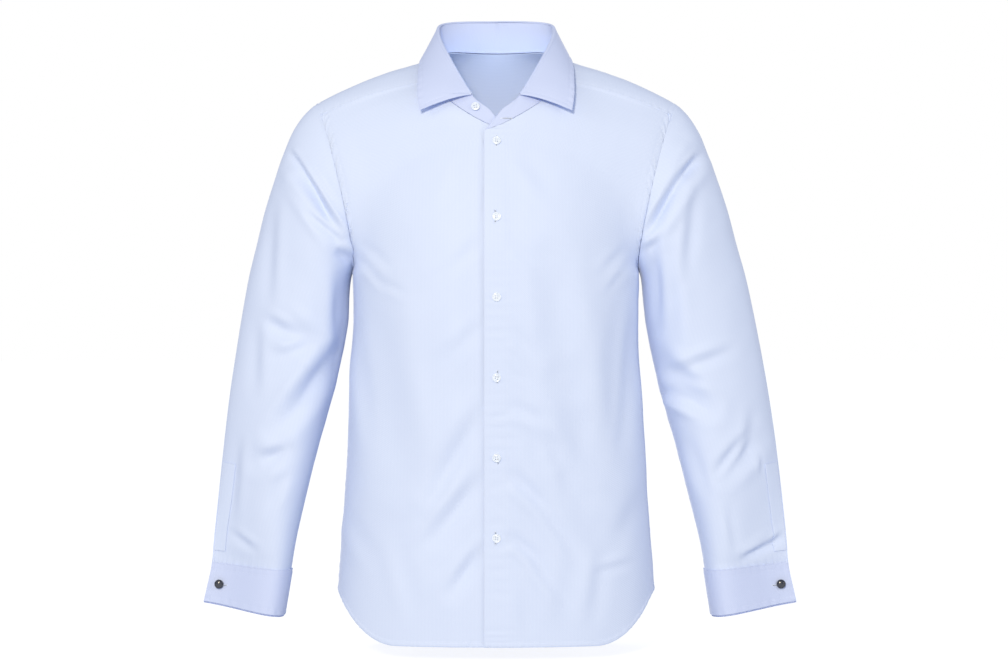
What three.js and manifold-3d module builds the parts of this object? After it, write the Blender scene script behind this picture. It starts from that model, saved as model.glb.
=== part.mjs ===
import * as THREE from 'three';
import Module from 'manifold-3d';
import { mergeVertices } from 'three/addons/utils/BufferGeometryUtils.js';

// A long sleeve dress shirt, buttoned and filled out as if worn, with nothing inside it.
// Millimetres, +Z up, the front faces -Y, +X is the wearer's left. The origin lies between the two
// points where the shoulders meet the neck, which is where the wearer's shoulders carry the shirt.

// Cloth
const clothWall = 1.2;
const collarWall = 1.4;
const seamInset = 0.2;
const armholeInset = 0.3;
const neckGap = 0.8;
const foldGap = 1.1;
const placketGap = 0.9;
const layerGap = 0.4;

// How many steps each panel has
const frontColumns = 12;
const backHalfColumns = 10;
const lowerRows = 12;
const upperRows = 9;
const neckCornerRow = 4;
const yokeRidgeSteps = 2;
const yokeBehindSteps = 3;
const sleeveSteps = 22;
const placketSteps = 5;

// Torso below the armholes: half width at the side seams, depth of the front and of the back
const torsoSections = [
  { z: -740, halfWidth: 201, front: 124, back: 118 },
  { z: -665, halfWidth: 199, front: 123, back: 116 },
  { z: -600, halfWidth: 194.5, front: 121, back: 113 },
  { z: -520, halfWidth: 189, front: 121, back: 111 },
  { z: -440, halfWidth: 184, front: 123, back: 112 },
  { z: -360, halfWidth: 179.5, front: 127, back: 118 },
  { z: -262, halfWidth: 179.5, front: 130, back: 126 },
];
const torsoRoundness = 2.35;
const underarmZ = -262;

// Hem: shirt tails drop between the side seams
const sideHemZ = -664;
const frontHemZ = -724;
const backHemZ = -738;
const tailRise = { start: 0.38, end: 0.94 };

// Front opening: the left front laps over the right one
const lap = { half: 14, fadeFrom: 22, fadeTo: 58, lift: 1.25 };

// The front above the underarm: its depth on the centre line at each height
const frontDepths = [
  { z: underarmZ, depth: 130 },
  { z: -221, depth: 128.3 },
  { z: -179, depth: 122.5 },
  { z: -137, depth: 110.5 },
  { z: -93, depth: 93.5 },
  { z: -74, depth: 85 },
  { z: -56, depth: 74.5 },
  { z: -38, depth: 59.5 },
  { z: -28, depth: 46 },
];
const frontNeck = { sideX: 84, sideZ: -28, frontZ: -93, curve: 1.6 };
const yokeNeck = { backY: 70, backZ: 17, rise: 2.5, ridgeShare: 0.4, frontFade: 4 };

// Back rows above the underarm: depth on the centre line
const backDepths = [126, 127, 127, 126.5, 125, 123, 120, 116, 111, 105];
const backYokeZ = -78;
const backShape = { crown: 0, hollow: 0, bend: 2 };
const levelRowBend = 2.8;
const frontCrown = 5;
const frontHollow = 4.5;
const shoulderCrown = 12.5;
const backCrown = 6;

// Armhole and sleeve rings. Each ring is an egg between an outer and an inner point.
// tear pinches the ring's outer side, which becomes the kissing edge of the cuff.
const sleeveRings = [
  { outX: 229, outZ: -54.5, inX: 180, inZ: -262, front: 64, back: 64, shiftY: 0, tear: 0 },
  { outX: 243, outZ: -69, inX: 182, inZ: -267, front: 67, back: 67, shiftY: 0, tear: 0 },
  { outX: 256, outZ: -90, inX: 183, inZ: -274, front: 68, back: 68, shiftY: 0, tear: 0 },
  { outX: 268, outZ: -119, inX: 184, inZ: -284, front: 67, back: 67, shiftY: 1, tear: 0 },
  { outX: 280, outZ: -152, inX: 185, inZ: -296, front: 66, back: 65, shiftY: 2, tear: 0 },
  { outX: 292, outZ: -188, inX: 186.5, inZ: -311, front: 65, back: 63, shiftY: 3, tear: 0 },
  { outX: 303, outZ: -229, inX: 188.5, inZ: -328, front: 63, back: 61, shiftY: 4, tear: 0 },
  { outX: 315, outZ: -272, inX: 192.5, inZ: -350, front: 61, back: 59, shiftY: 4, tear: 0 },
  { outX: 325, outZ: -318, inX: 198, inZ: -377, front: 59, back: 57, shiftY: 3, tear: 0 },
  { outX: 334, outZ: -365, inX: 206, inZ: -411, front: 57, back: 56, shiftY: 1, tear: 0 },
  { outX: 343, outZ: -417, inX: 217, inZ: -450, front: 56, back: 55, shiftY: -2, tear: 0.1 },
  { outX: 350.5, outZ: -470, inX: 229.5, inZ: -495, front: 55, back: 54, shiftY: -6, tear: 0.3 },
  { outX: 357, outZ: -524, inX: 241, inZ: -541, front: 54, back: 53, shiftY: -10, tear: 0.7 },
  { outX: 362, outZ: -572, inX: 251.5, inZ: -583, front: 53, back: 52, shiftY: -13, tear: 1.2 },
  { outX: 365, outZ: -605, inX: 258, inZ: -613, front: 52, back: 51, shiftY: -15, tear: 1.7 },
  { outX: 367, outZ: -631, inX: 262, inZ: -639, front: 51, back: 50, shiftY: -16, tear: 2.3 },
  { outX: 377, outZ: -677, inX: 270.5, inZ: -694, front: 52, back: 51, shiftY: -18, tear: 2.5 },
];
const cuffTopRing = 15;

// How much nearer the body the wearer's right sleeve hangs, at every second ring
const rightHang = [
  { out: 0, in: 0 },
  { out: -1, in: 0 },
  { out: 0, in: 0 },
  { out: 1.5, in: 2 },
  { out: 5, in: 2.5 },
  { out: 8, in: 3 },
  { out: 10.5, in: 3.5 },
  { out: 10.5, in: 5 },
  { out: 10, in: 4.5 },
];
const eggSkew = 0.25;
const armholeBow = 11;
const bowFadeRings = 3;
const yokeFrontAngle = 149.5;
const yokeBackAngle = 234;

// Cuffs
const cuff = {
  wall: 1.3, layerGap: 0.5, edgeAngle: 171, edgeRoom: 3.2, edgeFrom: 110, edgeTo: 165, leastStep: 0.05,
};
const cuffBand = [0, 0.33, 0.66, 0.97];
const cuffDrops = { coverTop: -2.5, foldOutside: 2.2, foldInside: 0.9, bandTop: 0.5 };
const link = { headRadius: 5.8, headHeight: 2.8, postRadius: 1.6, rim: 0.5, sides: 14 };
const linkDome = { radius: 0.75, rise: 0.9 };
const linkPlace = { fromEdge: 15, down: 0.46, holeRadius: 2.1, holeSpare: 4 };

// Collar: the fold line and the leaf's outer edge, from the front end to the centre back
const foldLine = [
  { x: 12, y: -81, z: -60 },
  { x: 19, y: -80.5, z: -57.5 },
  { x: 29, y: -76, z: -48.5 },
  { x: 42, y: -65, z: -28 },
  { x: 57, y: -45, z: -1 },
  { x: 70, y: -12, z: 26 },
  { x: 73, y: 20, z: 44 },
  { x: 65, y: 46, z: 52 },
  { x: 40, y: 63, z: 56 },
  { x: 0, y: 69, z: 57 },
];
const leafEdge = [
  { x: 94, y: -86, z: -67 },
  { x: 97, y: -73, z: -46 },
  { x: 97.5, y: -54, z: -26 },
  { x: 97.5, y: -30, z: -10 },
  { x: 96, y: -5, z: 1.5 },
  { x: 92, y: 20, z: 5 },
  { x: 82, y: 46, z: 6 },
  { x: 58, y: 72, z: 5 },
  { x: 30, y: 84, z: 5 },
  { x: 0, y: 87, z: 5 },
];
const standCorner = 13;
const standCornerSteps = 4;
const leafStart = 15;
const leafColumnGap = 3;
const leafRows = 5;
const leafArch = 7;
const leafArchLean = 0.7;
const leafArchReach = 0.12;
const leafBelly = 3;
const leafRoll = 1.4;
const leafTop = { outside: 0.5, inside: 0.1, drop: 0.8 };

// Buttons
const frontButtons = { x: 1, firstZ: -106, secondZ: -200, pitch: 97.8, count: 6 };
const button = { radius: 5.5, height: 2, bevel: 0.5, rim: 1.3, rimSlope: 0.4, dish: 0.6, sides: 12 };
const buttonSeat = 0.3;
const collarButton = { x: -25, z: -63, columns: 9 };

// Across a fold: how much the cloth swells beside the trough, how far out and how widely.
// Along it: where on a half wave it starts and ends.
const foldShape = { swell: 0.45, swellAt: 1.7, swellWidth: 0.5, start: 0.12, end: 0.88 };

// Folds, as seen from the front: a soft trough from one end to the other
const frontFolds = [
  { x0: -15, z0: -436, x1: -80, z1: -530, width: 15, depth: 3.5 },
  { x0: -15, z0: -506, x1: -66, z1: -588, width: 14, depth: 3 },
  { x0: -14, z0: -606, x1: -50, z1: -655, width: 12, depth: 2.5 },
  { x0: 18, z0: -436, x1: 62, z1: -490, width: 15, depth: 3 },
  { x0: 62, z0: -490, x1: 136, z1: -604, width: 18, depth: 3.5 },
  { x0: 68, z0: -252, x1: 88, z1: -400, width: 20, depth: 4 },
  { x0: 88, z0: -400, x1: 118, z1: -530, width: 20, depth: 4.5 },
  { x0: -150, z0: -300, x1: -118, z1: -520, width: 22, depth: 4 },
  { x0: 158, z0: -300, x1: 150, z1: -500, width: 18, depth: 3.5 },
];
const backFolds = [
  { x0: -45, z0: -120, x1: -85, z1: -430, width: 24, depth: 5 },
  { x0: 50, z0: -125, x1: 96, z1: -470, width: 24, depth: 5 },
  { x0: -20, z0: -400, x1: -110, z1: -520, width: 20, depth: 4 },
  { x0: 10, z0: -440, x1: 120, z1: -600, width: 20, depth: 4 },
  { x0: -150, z0: -290, x1: -120, z1: -500, width: 20, depth: 4 },
];
const leftSleeveFolds = [
  { x0: 256, z0: -114, x1: 222, z1: -162, width: 11, depth: 6 },
  { x0: 222, z0: -162, x1: 189, z1: -212, width: 11, depth: 6 },
  { x0: 196, z0: -368, x1: 264, z1: -436, width: 12, depth: 6 },
  { x0: 326, z0: -474, x1: 284, z1: -516, width: 12, depth: 5 },
  { x0: 205, z0: -250, x1: 212, z1: -350, width: 15, depth: 5 },
  { x0: 352, z0: -603, x1: 314, z1: -624, width: 9, depth: 4 },
];
const rightSleeveFolds = [
  { x0: 252, z0: -130, x1: 193, z1: -202, width: 10, depth: 6 },
  { x0: 246, z0: -154, x1: 200, z1: -220, width: 10, depth: 5 },
  { x0: 204, z0: -372, x1: 272, z1: -466, width: 13, depth: 5 },
  { x0: 266, z0: -330, x1: 222, z1: -360, width: 13, depth: 4 },
  { x0: 262, z0: -488, x1: 294, z1: -502, width: 12, depth: 4 },
];
const backSleeveFolds = [
  { x0: 262, z0: -140, x1: 200, z1: -230, width: 13, depth: 6 },
  { x0: 205, z0: -380, x1: 290, z1: -430, width: 14, depth: 6 },
  { x0: 300, z0: -400, x1: 235, z1: -470, width: 14, depth: 6 },
  { x0: 330, z0: -520, x1: 262, z1: -560, width: 12, depth: 5 },
];

const sameCorner = 1e-4;

const wasm = await Module();
wasm.setup();

const radians = THREE.MathUtils.degToRad;
const lerp = THREE.MathUtils.lerp;
const smooth = THREE.MathUtils.smoothstep;
const vector = (x, y, z) => new THREE.Vector3(x, y, z);
const steps = (count) => Array.from({ length: count + 1 }, (_, i) => i / count);
const signedPower = (value, power) => Math.sign(value) * Math.abs(value) ** power;

// A smooth curve through the rows of a table, read at a fractional row number
function readTable(table, place) {
  const last = table.length - 1;
  const row = Math.min(Math.max(Math.floor(place), 0), last - 1);
  const t = Math.min(Math.max(place - row, 0), 1);
  const rows = [row - 1, row, row + 1, row + 2].map((i) => table[Math.min(Math.max(i, 0), last)]);
  const result = {};
  for (const key of Object.keys(table[0])) {
    const [a, b, c, d] = rows.map((entry) => entry[key]);
    const bend = (2 * b - 2 * c + (c - a) / 2 + (d - b) / 2) * t ** 3;
    const lean = (3 * (c - b) - (c - a) - (d - b) / 2) * t ** 2;
    result[key] = b + ((c - a) / 2) * t + lean + bend;
  }
  return result;
}

function readAtHeight(table, z) {
  const above = table.findIndex((section) => section.z >= z);
  const next = above < 0 ? table.length - 1 : Math.max(above, 1);
  const low = table[next - 1].z;
  const high = table[next].z;
  return readTable(table, next - 1 + (z - low) / (high - low));
}

const torsoAt = (z) => readAtHeight(torsoSections, z);

// Points along a chain of points, at a fraction of its length
function alongChain(points, fraction) {
  const lengths = points.slice(1).map((point, i) => point.distanceTo(points[i]));
  const total = lengths.reduce((sum, length) => sum + length, 0);
  let left = fraction * total;
  let i = 0;
  while (i < lengths.length - 1 && left > lengths[i]) left -= lengths[i++];
  return points[i].clone().lerp(points[i + 1], Math.min(left / lengths[i], 1));
}

const chainLength = (points) => points.slice(1).reduce((sum, p, i) => sum + p.distanceTo(points[i]), 0);

function smoothChain(table) {
  return steps((table.length - 1) * 6).map((t) => {
    const { x, y, z } = readTable(table, t * (table.length - 1));
    return vector(x, y, z);
  });
}

// A ring of the sleeve, which hangs nearer the body on the wearer's right side
function ringAt(place, side) {
  const ring = readTable(sleeveRings, place);
  if (side > 0) return ring;
  const hang = readTable(rightHang, place / 2);
  return { ...ring, outX: ring.outX - hang.out, inX: ring.inX - hang.in };
}

// The egg-shaped section that the armhole and every sleeve ring share. angle 0 is the underarm.
function ringPoint(place, angle, side = 1) {
  const ring = ringAt(place, side);
  const up = (1 - Math.cos(angle)) / 2;
  const pinch = Math.abs(Math.cos(angle / 2)) ** ring.tear;
  const reach = Math.sin(angle) * (1 + eggSkew * Math.cos(angle)) * pinch;
  const depth = reach > 0 ? ring.front : ring.back;
  const bow = armholeBow * Math.abs(Math.sin(angle)) * (1 - smooth(place, 0, bowFadeRings));
  const x = lerp(ring.inX, ring.outX, up) - bow;
  return vector(x, ring.shiftY - depth * reach, lerp(ring.inZ, ring.outZ, up));
}

// The armhole's own outward direction, square to its edge
function ringNormal(place, angle) {
  const ring = readTable(sleeveRings, place);
  const axis = vector(ring.outX - ring.inX, 0, ring.outZ - ring.inZ).normalize();
  const along = ringPoint(place, angle + 0.01).sub(ringPoint(place, angle - 0.01));
  const flat = vector(along.dot(axis), along.y, 0);
  return axis.multiplyScalar(flat.y).add(vector(0, -flat.x, 0)).normalize();
}

const armholeAngles = [
  ...steps(upperRows).map((t) => t * yokeFrontAngle),
  ...steps(yokeRidgeSteps).slice(1).map((t) => lerp(yokeFrontAngle, 180, t)),
  ...steps(yokeBehindSteps).slice(1).map((t) => lerp(180, yokeBackAngle, t)),
  ...steps(upperRows).slice(1).map((t) => lerp(yokeBackAngle, 360, t)),
].slice(0, -1).map(radians);

const hemRise = (turn) => smooth(Math.abs(turn), tailRise.start, tailRise.end);

// One point of the torso below the armholes. turn runs from 0 at the centre to 1 at the side seam.
function lowerPoint(turn, up, face) {
  const centreHem = face < 0 ? frontHemZ : backHemZ;
  const hem = lerp(centreHem, sideHemZ, hemRise(turn));
  const z = lerp(hem, underarmZ, up);
  const section = torsoAt(z);
  const angle = turn * Math.PI / 2;
  const depth = face < 0 ? section.front : section.back;
  const x = section.halfWidth * signedPower(Math.sin(angle), 2 / torsoRoundness);
  return vector(x, face * depth * Math.cos(angle) ** (2 / torsoRoundness), z);
}

// A row above the underarm: an arc with its given depth on the centre line, which ends on the armhole
function upperRow(start, depth, face, angle, shape, fractions) {
  const end = ringPoint(0, angle);
  const power = torsoRoundness / 2;
  const endTurn = Math.acos(Math.min(Math.abs(end.y) / depth, 1) ** power);
  const halfWidth = end.x / Math.sin(endTurn) ** (1 / power);
  const startTurn = Math.asin(signedPower(start.x / halfWidth, power));
  return fractions.map((fraction) => {
    const turn = lerp(startTurn, endTurn, fraction);
    const x = halfWidth * signedPower(Math.sin(turn), 1 / power);
    const along = Math.max((x - start.x) / (end.x - start.x), 0);
    const swell = Math.sin(Math.PI * along);
    const z = lerp(start.z, end.z, along ** shape.bend) + shape.crown * swell;
    return vector(x, face * (depth * Math.cos(turn) ** (1 / power) - shape.hollow * swell ** 2), z);
  });
}

function frontGrid() {
  const grid = steps(lowerRows).map((up) => steps(frontColumns).map((across) => {
    const halfWidth = torsoAt(lerp(frontHemZ, underarmZ, up)).halfWidth;
    const edge = -Math.asin((lap.half / halfWidth) ** (torsoRoundness / 2)) / (Math.PI / 2);
    return lowerPoint(lerp(edge, 1, across), up, -1);
  }));
  for (let row = 1; row <= upperRows; row++) {
    const upNeck = Math.max(row - neckCornerRow, 0) / (upperRows - neckCornerRow);
    const turn = upNeck * Math.PI / 2;
    const neckZ = lerp(frontNeck.sideZ, frontNeck.frontZ, Math.cos(turn) ** frontNeck.curve);
    const start = {
      x: lerp(-lap.half, frontNeck.sideX, Math.sin(turn) ** frontNeck.curve),
      z: row < neckCornerRow ? lerp(underarmZ, frontNeck.frontZ, row / neckCornerRow) : neckZ,
    };
    const { depth } = readAtHeight(frontDepths, start.z);
    const shape = {
      crown: frontCrown * (row / upperRows) ** 2,
      hollow: frontHollow * Math.sin(Math.PI * upNeck),
      bend: lerp(levelRowBend, 1, smooth(row, neckCornerRow - 1, upperRows)),
    };
    const angle = radians(yokeFrontAngle * row / upperRows);
    grid.push(upperRow(start, depth, -1, angle, shape, steps(frontColumns)));
  }
  return grid;
}

function backGrid() {
  const halves = steps(backHalfColumns);
  const rows = steps(lowerRows).map((up) => halves.map((turn) => lowerPoint(turn, up, 1)));
  for (let row = 1; row <= upperRows; row++) {
    const angle = radians(lerp(360, yokeBackAngle, row / upperRows));
    const start = { x: 0, z: lerp(underarmZ, backYokeZ, row / upperRows) };
    rows.push(upperRow(start, backDepths[row], 1, angle, backShape, halves));
  }
  const mirrored = (point) => vector(-point.x, point.y, point.z);
  return rows.map((row) => [...row.slice(1).reverse().map(mirrored), ...row]);
}

// Folds: each moves the points near its line inwards, and swells the cloth a little beside it
function foldDepth(point, folds) {
  return folds.reduce((sum, fold) => {
    const run = vector(fold.x1 - fold.x0, 0, fold.z1 - fold.z0);
    const from = vector(point.x - fold.x0, 0, point.z - fold.z0);
    const along = Math.min(Math.max(from.dot(run) / run.lengthSq(), 0), 1);
    const away = from.sub(run.multiplyScalar(along)).length() / fold.width;
    const swell = Math.exp(-((away - foldShape.swellAt) ** 2) / foldShape.swellWidth);
    const trough = Math.exp(-away * away) - foldShape.swell * swell;
    return sum + fold.depth * trough * Math.sin(Math.PI * lerp(foldShape.start, foldShape.end, along));
  }, 0);
}

// Surface normals of a grid of points, turned the way that hint says is outwards
function gridNormals(grid, hint, wrap = false) {
  const held = (i, count) => Math.min(Math.max(i, 0), count - 1);
  const pick = (list, i) => list[wrap ? (i + list.length) % list.length : held(i, list.length)];
  return grid.map((row, r) => row.map((point, c) => {
    const across = pick(row, c + 1).clone().sub(pick(row, c - 1));
    const above = grid[Math.min(r + 1, grid.length - 1)][c];
    const below = grid[Math.max(r - 1, 0)][c];
    const normal = across.cross(above.clone().sub(below)).normalize();
    return normal.dot(hint(point, r, c)) < 0 ? normal.negate() : normal;
  }));
}

const offset = (grid, normals, distance) =>
  grid.map((row, r) => row.map((p, c) => p.clone().addScaledVector(normals[r][c], distance)));

// A closed solid between two grids of the same size
function solidBetween(outer, inner, wrap = false) {
  const rows = outer.length;
  const columns = outer[0].length;
  const positions = [outer, inner].flat(2).flatMap((p) => [p.x, p.y, p.z]);
  const at = (layer, r, c) => layer * rows * columns + r * columns + (c % columns);
  const faces = [];
  const quad = (a, b, c, d) => faces.push(a, b, c, a, c, d);
  const lastColumn = wrap ? columns : columns - 1;
  for (let r = 0; r < rows - 1; r++) {
    for (let c = 0; c < lastColumn; c++) {
      quad(at(0, r, c), at(0, r, c + 1), at(0, r + 1, c + 1), at(0, r + 1, c));
      quad(at(1, r, c), at(1, r + 1, c), at(1, r + 1, c + 1), at(1, r, c + 1));
    }
    if (!wrap) {
      quad(at(0, r, 0), at(0, r + 1, 0), at(1, r + 1, 0), at(1, r, 0));
      quad(at(0, r, lastColumn), at(1, r, lastColumn), at(1, r + 1, lastColumn), at(0, r + 1, lastColumn));
    }
  }
  for (let c = 0; c < lastColumn; c++) {
    quad(at(0, 0, c), at(1, 0, c), at(1, 0, c + 1), at(0, 0, c + 1));
    quad(at(0, rows - 1, c), at(0, rows - 1, c + 1), at(1, rows - 1, c + 1), at(1, rows - 1, c));
  }
  const geometry = new THREE.BufferGeometry();
  geometry.setAttribute('position', new THREE.Float32BufferAttribute(positions, 3));
  geometry.setIndex(volumeOf(positions, faces) < 0 ? faces.reverse() : faces);
  geometry.computeVertexNormals();
  return geometry;
}

function volumeOf(positions, faces) {
  const corner = (i) => vector(...positions.slice(3 * faces[i], 3 * faces[i] + 3));
  let sum = 0;
  for (let i = 0; i < faces.length; i += 3) sum += corner(i).dot(corner(i + 1).cross(corner(i + 2)));
  return sum;
}

// Draw back the named edges of a grid, to leave the seam's gap
function drawBack(grid, edges) {
  const rows = grid.length - 1;
  const columns = grid[0].length - 1;
  const pull = (point, towards, gap) => point.addScaledVector(towards.clone().sub(point).normalize(), gap);
  const copy = grid.map((row) => row.map((point) => point.clone()));
  for (let r = 0; r <= rows; r++) {
    const gaps = edges.sides ? edges.sides(r) : [0, 0];
    if (gaps[0]) pull(copy[r][0], grid[r][1], gaps[0]);
    if (gaps[1]) pull(copy[r][columns], grid[r][columns - 1], gaps[1]);
  }
  for (let c = 0; c <= columns; c++) {
    if (edges.top) pull(copy[rows][c], grid[rows - 1][c], edges.top);
    if (edges.bottom) pull(copy[0][c], grid[1][c], edges.bottom);
  }
  return copy;
}

// Near the armhole every panel's end face turns square to the armhole's edge: least at the underarm,
// where the panel's own direction counts most, and fully at the shoulder
const armholeTurn = { own: 0.6, square: 1.2 };

function turnToArmhole(normal, angle) {
  const own = armholeTurn.own * (1 + Math.cos(angle));
  const square = armholeTurn.square - Math.cos(angle);
  return ringNormal(0, angle).multiplyScalar(square).addScaledVector(normal, own).normalize();
}

const mirrorX = (grid) => grid.map((row) => row.map((p) => vector(-p.x, p.y, p.z)));
const outOfTorso = (point) => vector(point.x, point.y, 0);
const trunkMiddle = { share: 0.3, z: -170 };
const frontFacesUp = 0.2;
const outOfShoulders = (point) => vector(point.x * trunkMiddle.share, point.y, point.z - trunkMiddle.z);

function makeFront(side) {
  const flat = frontGrid();
  const hint = (point) => vector(point.x, point.y, frontFacesUp * Math.abs(point.y));
  const normals = gridNormals(flat, hint);
  for (let row = 0; row <= upperRows; row++) {
    const edge = normals[lowerRows + row];
    edge[frontColumns] = turnToArmhole(edge[frontColumns], armholeAngles[row]);
  }
  const lapLift = (x) => side * lap.lift * (1 - smooth(x, lap.fadeFrom, lap.fadeTo));
  const shaped = flat.map((row, r) => row.map((point, c) => {
    const onSeam = c === frontColumns || r === flat.length - 1;
    const held = onSeam ? 0 : smooth(point.x, lap.half, lap.fadeTo);
    const fold = held * foldDepth(vector(side * point.x, point.y, point.z), frontFolds);
    return point.clone().addScaledVector(normals[r][c], lapLift(point.x) - fold);
  }));
  const sideGap = (r) => [0, r < lowerRows ? seamInset : armholeInset];
  const outer = drawBack(shaped, { sides: sideGap, top: seamInset });
  const inner = offset(outer, normals, -clothWall);
  const mirrored = side < 0 ? mirrorX : (grid) => grid;
  return { shaped: mirrored(shaped), normals, outer: mirrored(outer), inner: mirrored(inner) };
}

function makeBack() {
  const flat = backGrid();
  const normals = gridNormals(flat, outOfTorso);
  const last = 2 * backHalfColumns;
  for (let row = 0; row <= upperRows; row++) {
    const edge = normals[lowerRows + row];
    const angle = radians(lerp(360, yokeBackAngle, row / upperRows));
    edge[last] = turnToArmhole(edge[last], angle);
    edge[0] = vector(-edge[last].x, edge[last].y, edge[last].z);
  }
  const shaped = flat.map((row, r) => row.map((point, c) => {
    const held = c === 0 || c === last || r === flat.length - 1 ? 0 : 1;
    return point.clone().addScaledVector(normals[r][c], -held * foldDepth(point, backFolds));
  }));
  const gaps = (r) => (r < lowerRows ? [seamInset, seamInset] : [armholeInset, armholeInset]);
  const outer = drawBack(shaped, { sides: gaps, top: seamInset });
  return { shaped, normals, outer, inner: offset(outer, normals, -clothWall) };
}

// The yoke runs from the neck out to the armholes and down to the back's top edge
function makeYoke(front, back) {
  const frontRow = front.shaped[front.shaped.length - 1];
  const backRow = back.shaped[back.shaped.length - 1].slice(backHalfColumns);
  const shoulderSteps = yokeRidgeSteps + yokeBehindSteps;
  const shoulder = armholeAngles.slice(upperRows, upperRows + shoulderSteps + 1).map((a) => ringPoint(0, a));
  const outerEdge = [...shoulder, ...backRow.slice(0, -1).reverse()];
  const count = outerEdge.length - 1;
  const start = frontRow[0];
  const neckEdge = outerEdge.map((_, j) => {
    const share = j <= shoulderSteps
      ? yokeNeck.ridgeShare * j / shoulderSteps
      : lerp(yokeNeck.ridgeShare, 1, (j - shoulderSteps) / (count - shoulderSteps));
    const turn = share * Math.PI / 2;
    const rise = 1 - (1 - Math.sin(turn)) ** yokeNeck.rise;
    return vector(start.x * Math.cos(turn), lerp(start.y, yokeNeck.backY, Math.sin(turn)),
      lerp(start.z, yokeNeck.backZ, rise));
  });
  const spread = frontRow.map((point) => (point.x - start.x) / (frontRow[frontColumns].x - start.x));
  const half = spread.map((v, r) => outerEdge.map((edge, j) => {
    const point = neckEdge[j].clone().lerp(edge, v);
    const straight = start.clone().lerp(frontRow[frontColumns], v);
    const fade = (1 - j / count) ** yokeNeck.frontFade;
    point.addScaledVector(frontRow[r].clone().sub(straight), fade);
    const swell = Math.sin(Math.PI * v) * (1 - fade);
    const behind = smooth(j, shoulderSteps, count);
    const crown = lerp(shoulderCrown, backCrown, behind);
    return point.addScaledVector(outOfShoulders(point).normalize(), swell * crown);
  }));
  const grid = half.map((row) => [...row, ...row.slice(0, -1).reverse().map((p) => vector(-p.x, p.y, p.z))]);
  const normals = gridNormals(grid, outOfShoulders);
  const last = 2 * count;
  const edge = normals[normals.length - 1];
  const mirroredNormal = (normal) => vector(-normal.x, normal.y, normal.z);
  front.normals[front.normals.length - 1].forEach((normal, r) => {
    normals[r][0] = normal.clone();
    normals[r][last] = mirroredNormal(normal);
  });
  back.normals[back.normals.length - 1].forEach((normal, c) => {
    edge[count - backHalfColumns + c] = mirroredNormal(normal);
  });
  for (let j = 0; j <= shoulderSteps; j++) {
    edge[j] = turnToArmhole(edge[j], armholeAngles[upperRows + j]);
    edge[last - j] = mirroredNormal(edge[j]);
  }
  const outer = drawBack(grid, { sides: () => [seamInset, seamInset], top: armholeInset });
  return { neckEdge: grid[0], normals, outer, inner: offset(outer, normals, -clothWall) };
}

// The neck edge all round, from the left front's corner over the back to the right front's corner
function neckChain(frontLeft, yoke, frontRight) {
  const edge = (front) => front.shaped.slice(lowerRows + neckCornerRow, -1).map((row) => row[0]);
  return [...edge(frontLeft), ...yoke.neckEdge, ...edge(frontRight).reverse()];
}

// A line of the collar all round, from half of it in a table
function wholeChain(table) {
  const half = smoothChain(table);
  return [...half, ...half.slice(0, -1).reverse().map((p) => vector(-p.x, p.y, p.z))];
}

const outOfNeck = (point) => vector(point.x, point.y + 5, 0);

function lapApart(point, share) {
  const side = share < 0.5 ? 1 : -1;
  const near = 1 - smooth(Math.abs(point.x), lap.fadeFrom, lap.fadeTo);
  return point.clone().add(vector(0, -side * lap.lift * near, 0));
}

// The stand rises from the neck edge to the fold line, and its front corners are rounded off
function makeStand(neck) {
  const fold = wholeChain(foldLine);
  const whole = chainLength(neck);
  const cornerTurns = steps(standCornerSteps).slice(1, -1).map((t) => t * Math.PI / 2);
  const ends = cornerTurns.map((turn) => standCorner * (1 - Math.cos(turn)) / whole);
  const seams = neck.map((_, i) => chainLength(neck.slice(0, i + 1)) / whole);
  const shares = [...seams, ...ends, ...ends.map((share) => 1 - share)].sort((a, b) => a - b);
  const bottoms = shares.map((share) => alongChain(neck, share));
  const tops = shares.map((share) => lapApart(alongChain(fold, share), share));
  const grid = [0, 0.5, 1].map((up) => bottoms.map((bottom, i) => {
    const towards = tops[i].clone().sub(bottom);
    const fromEnd = Math.min(shares[i], 1 - shares[i]) * whole;
    const inward = Math.max(1 - fromEnd / standCorner, 0);
    const short = standCorner * (1 - Math.sqrt(1 - inward ** 2));
    const rise = lerp(neckGap, towards.length() - short, up);
    return bottom.clone().addScaledVector(towards.normalize(), rise);
  }));
  const normals = gridNormals(grid, outOfNeck);
  return { tops, outer: grid, normals, inner: offset(grid, normals, -collarWall) };
}

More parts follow.
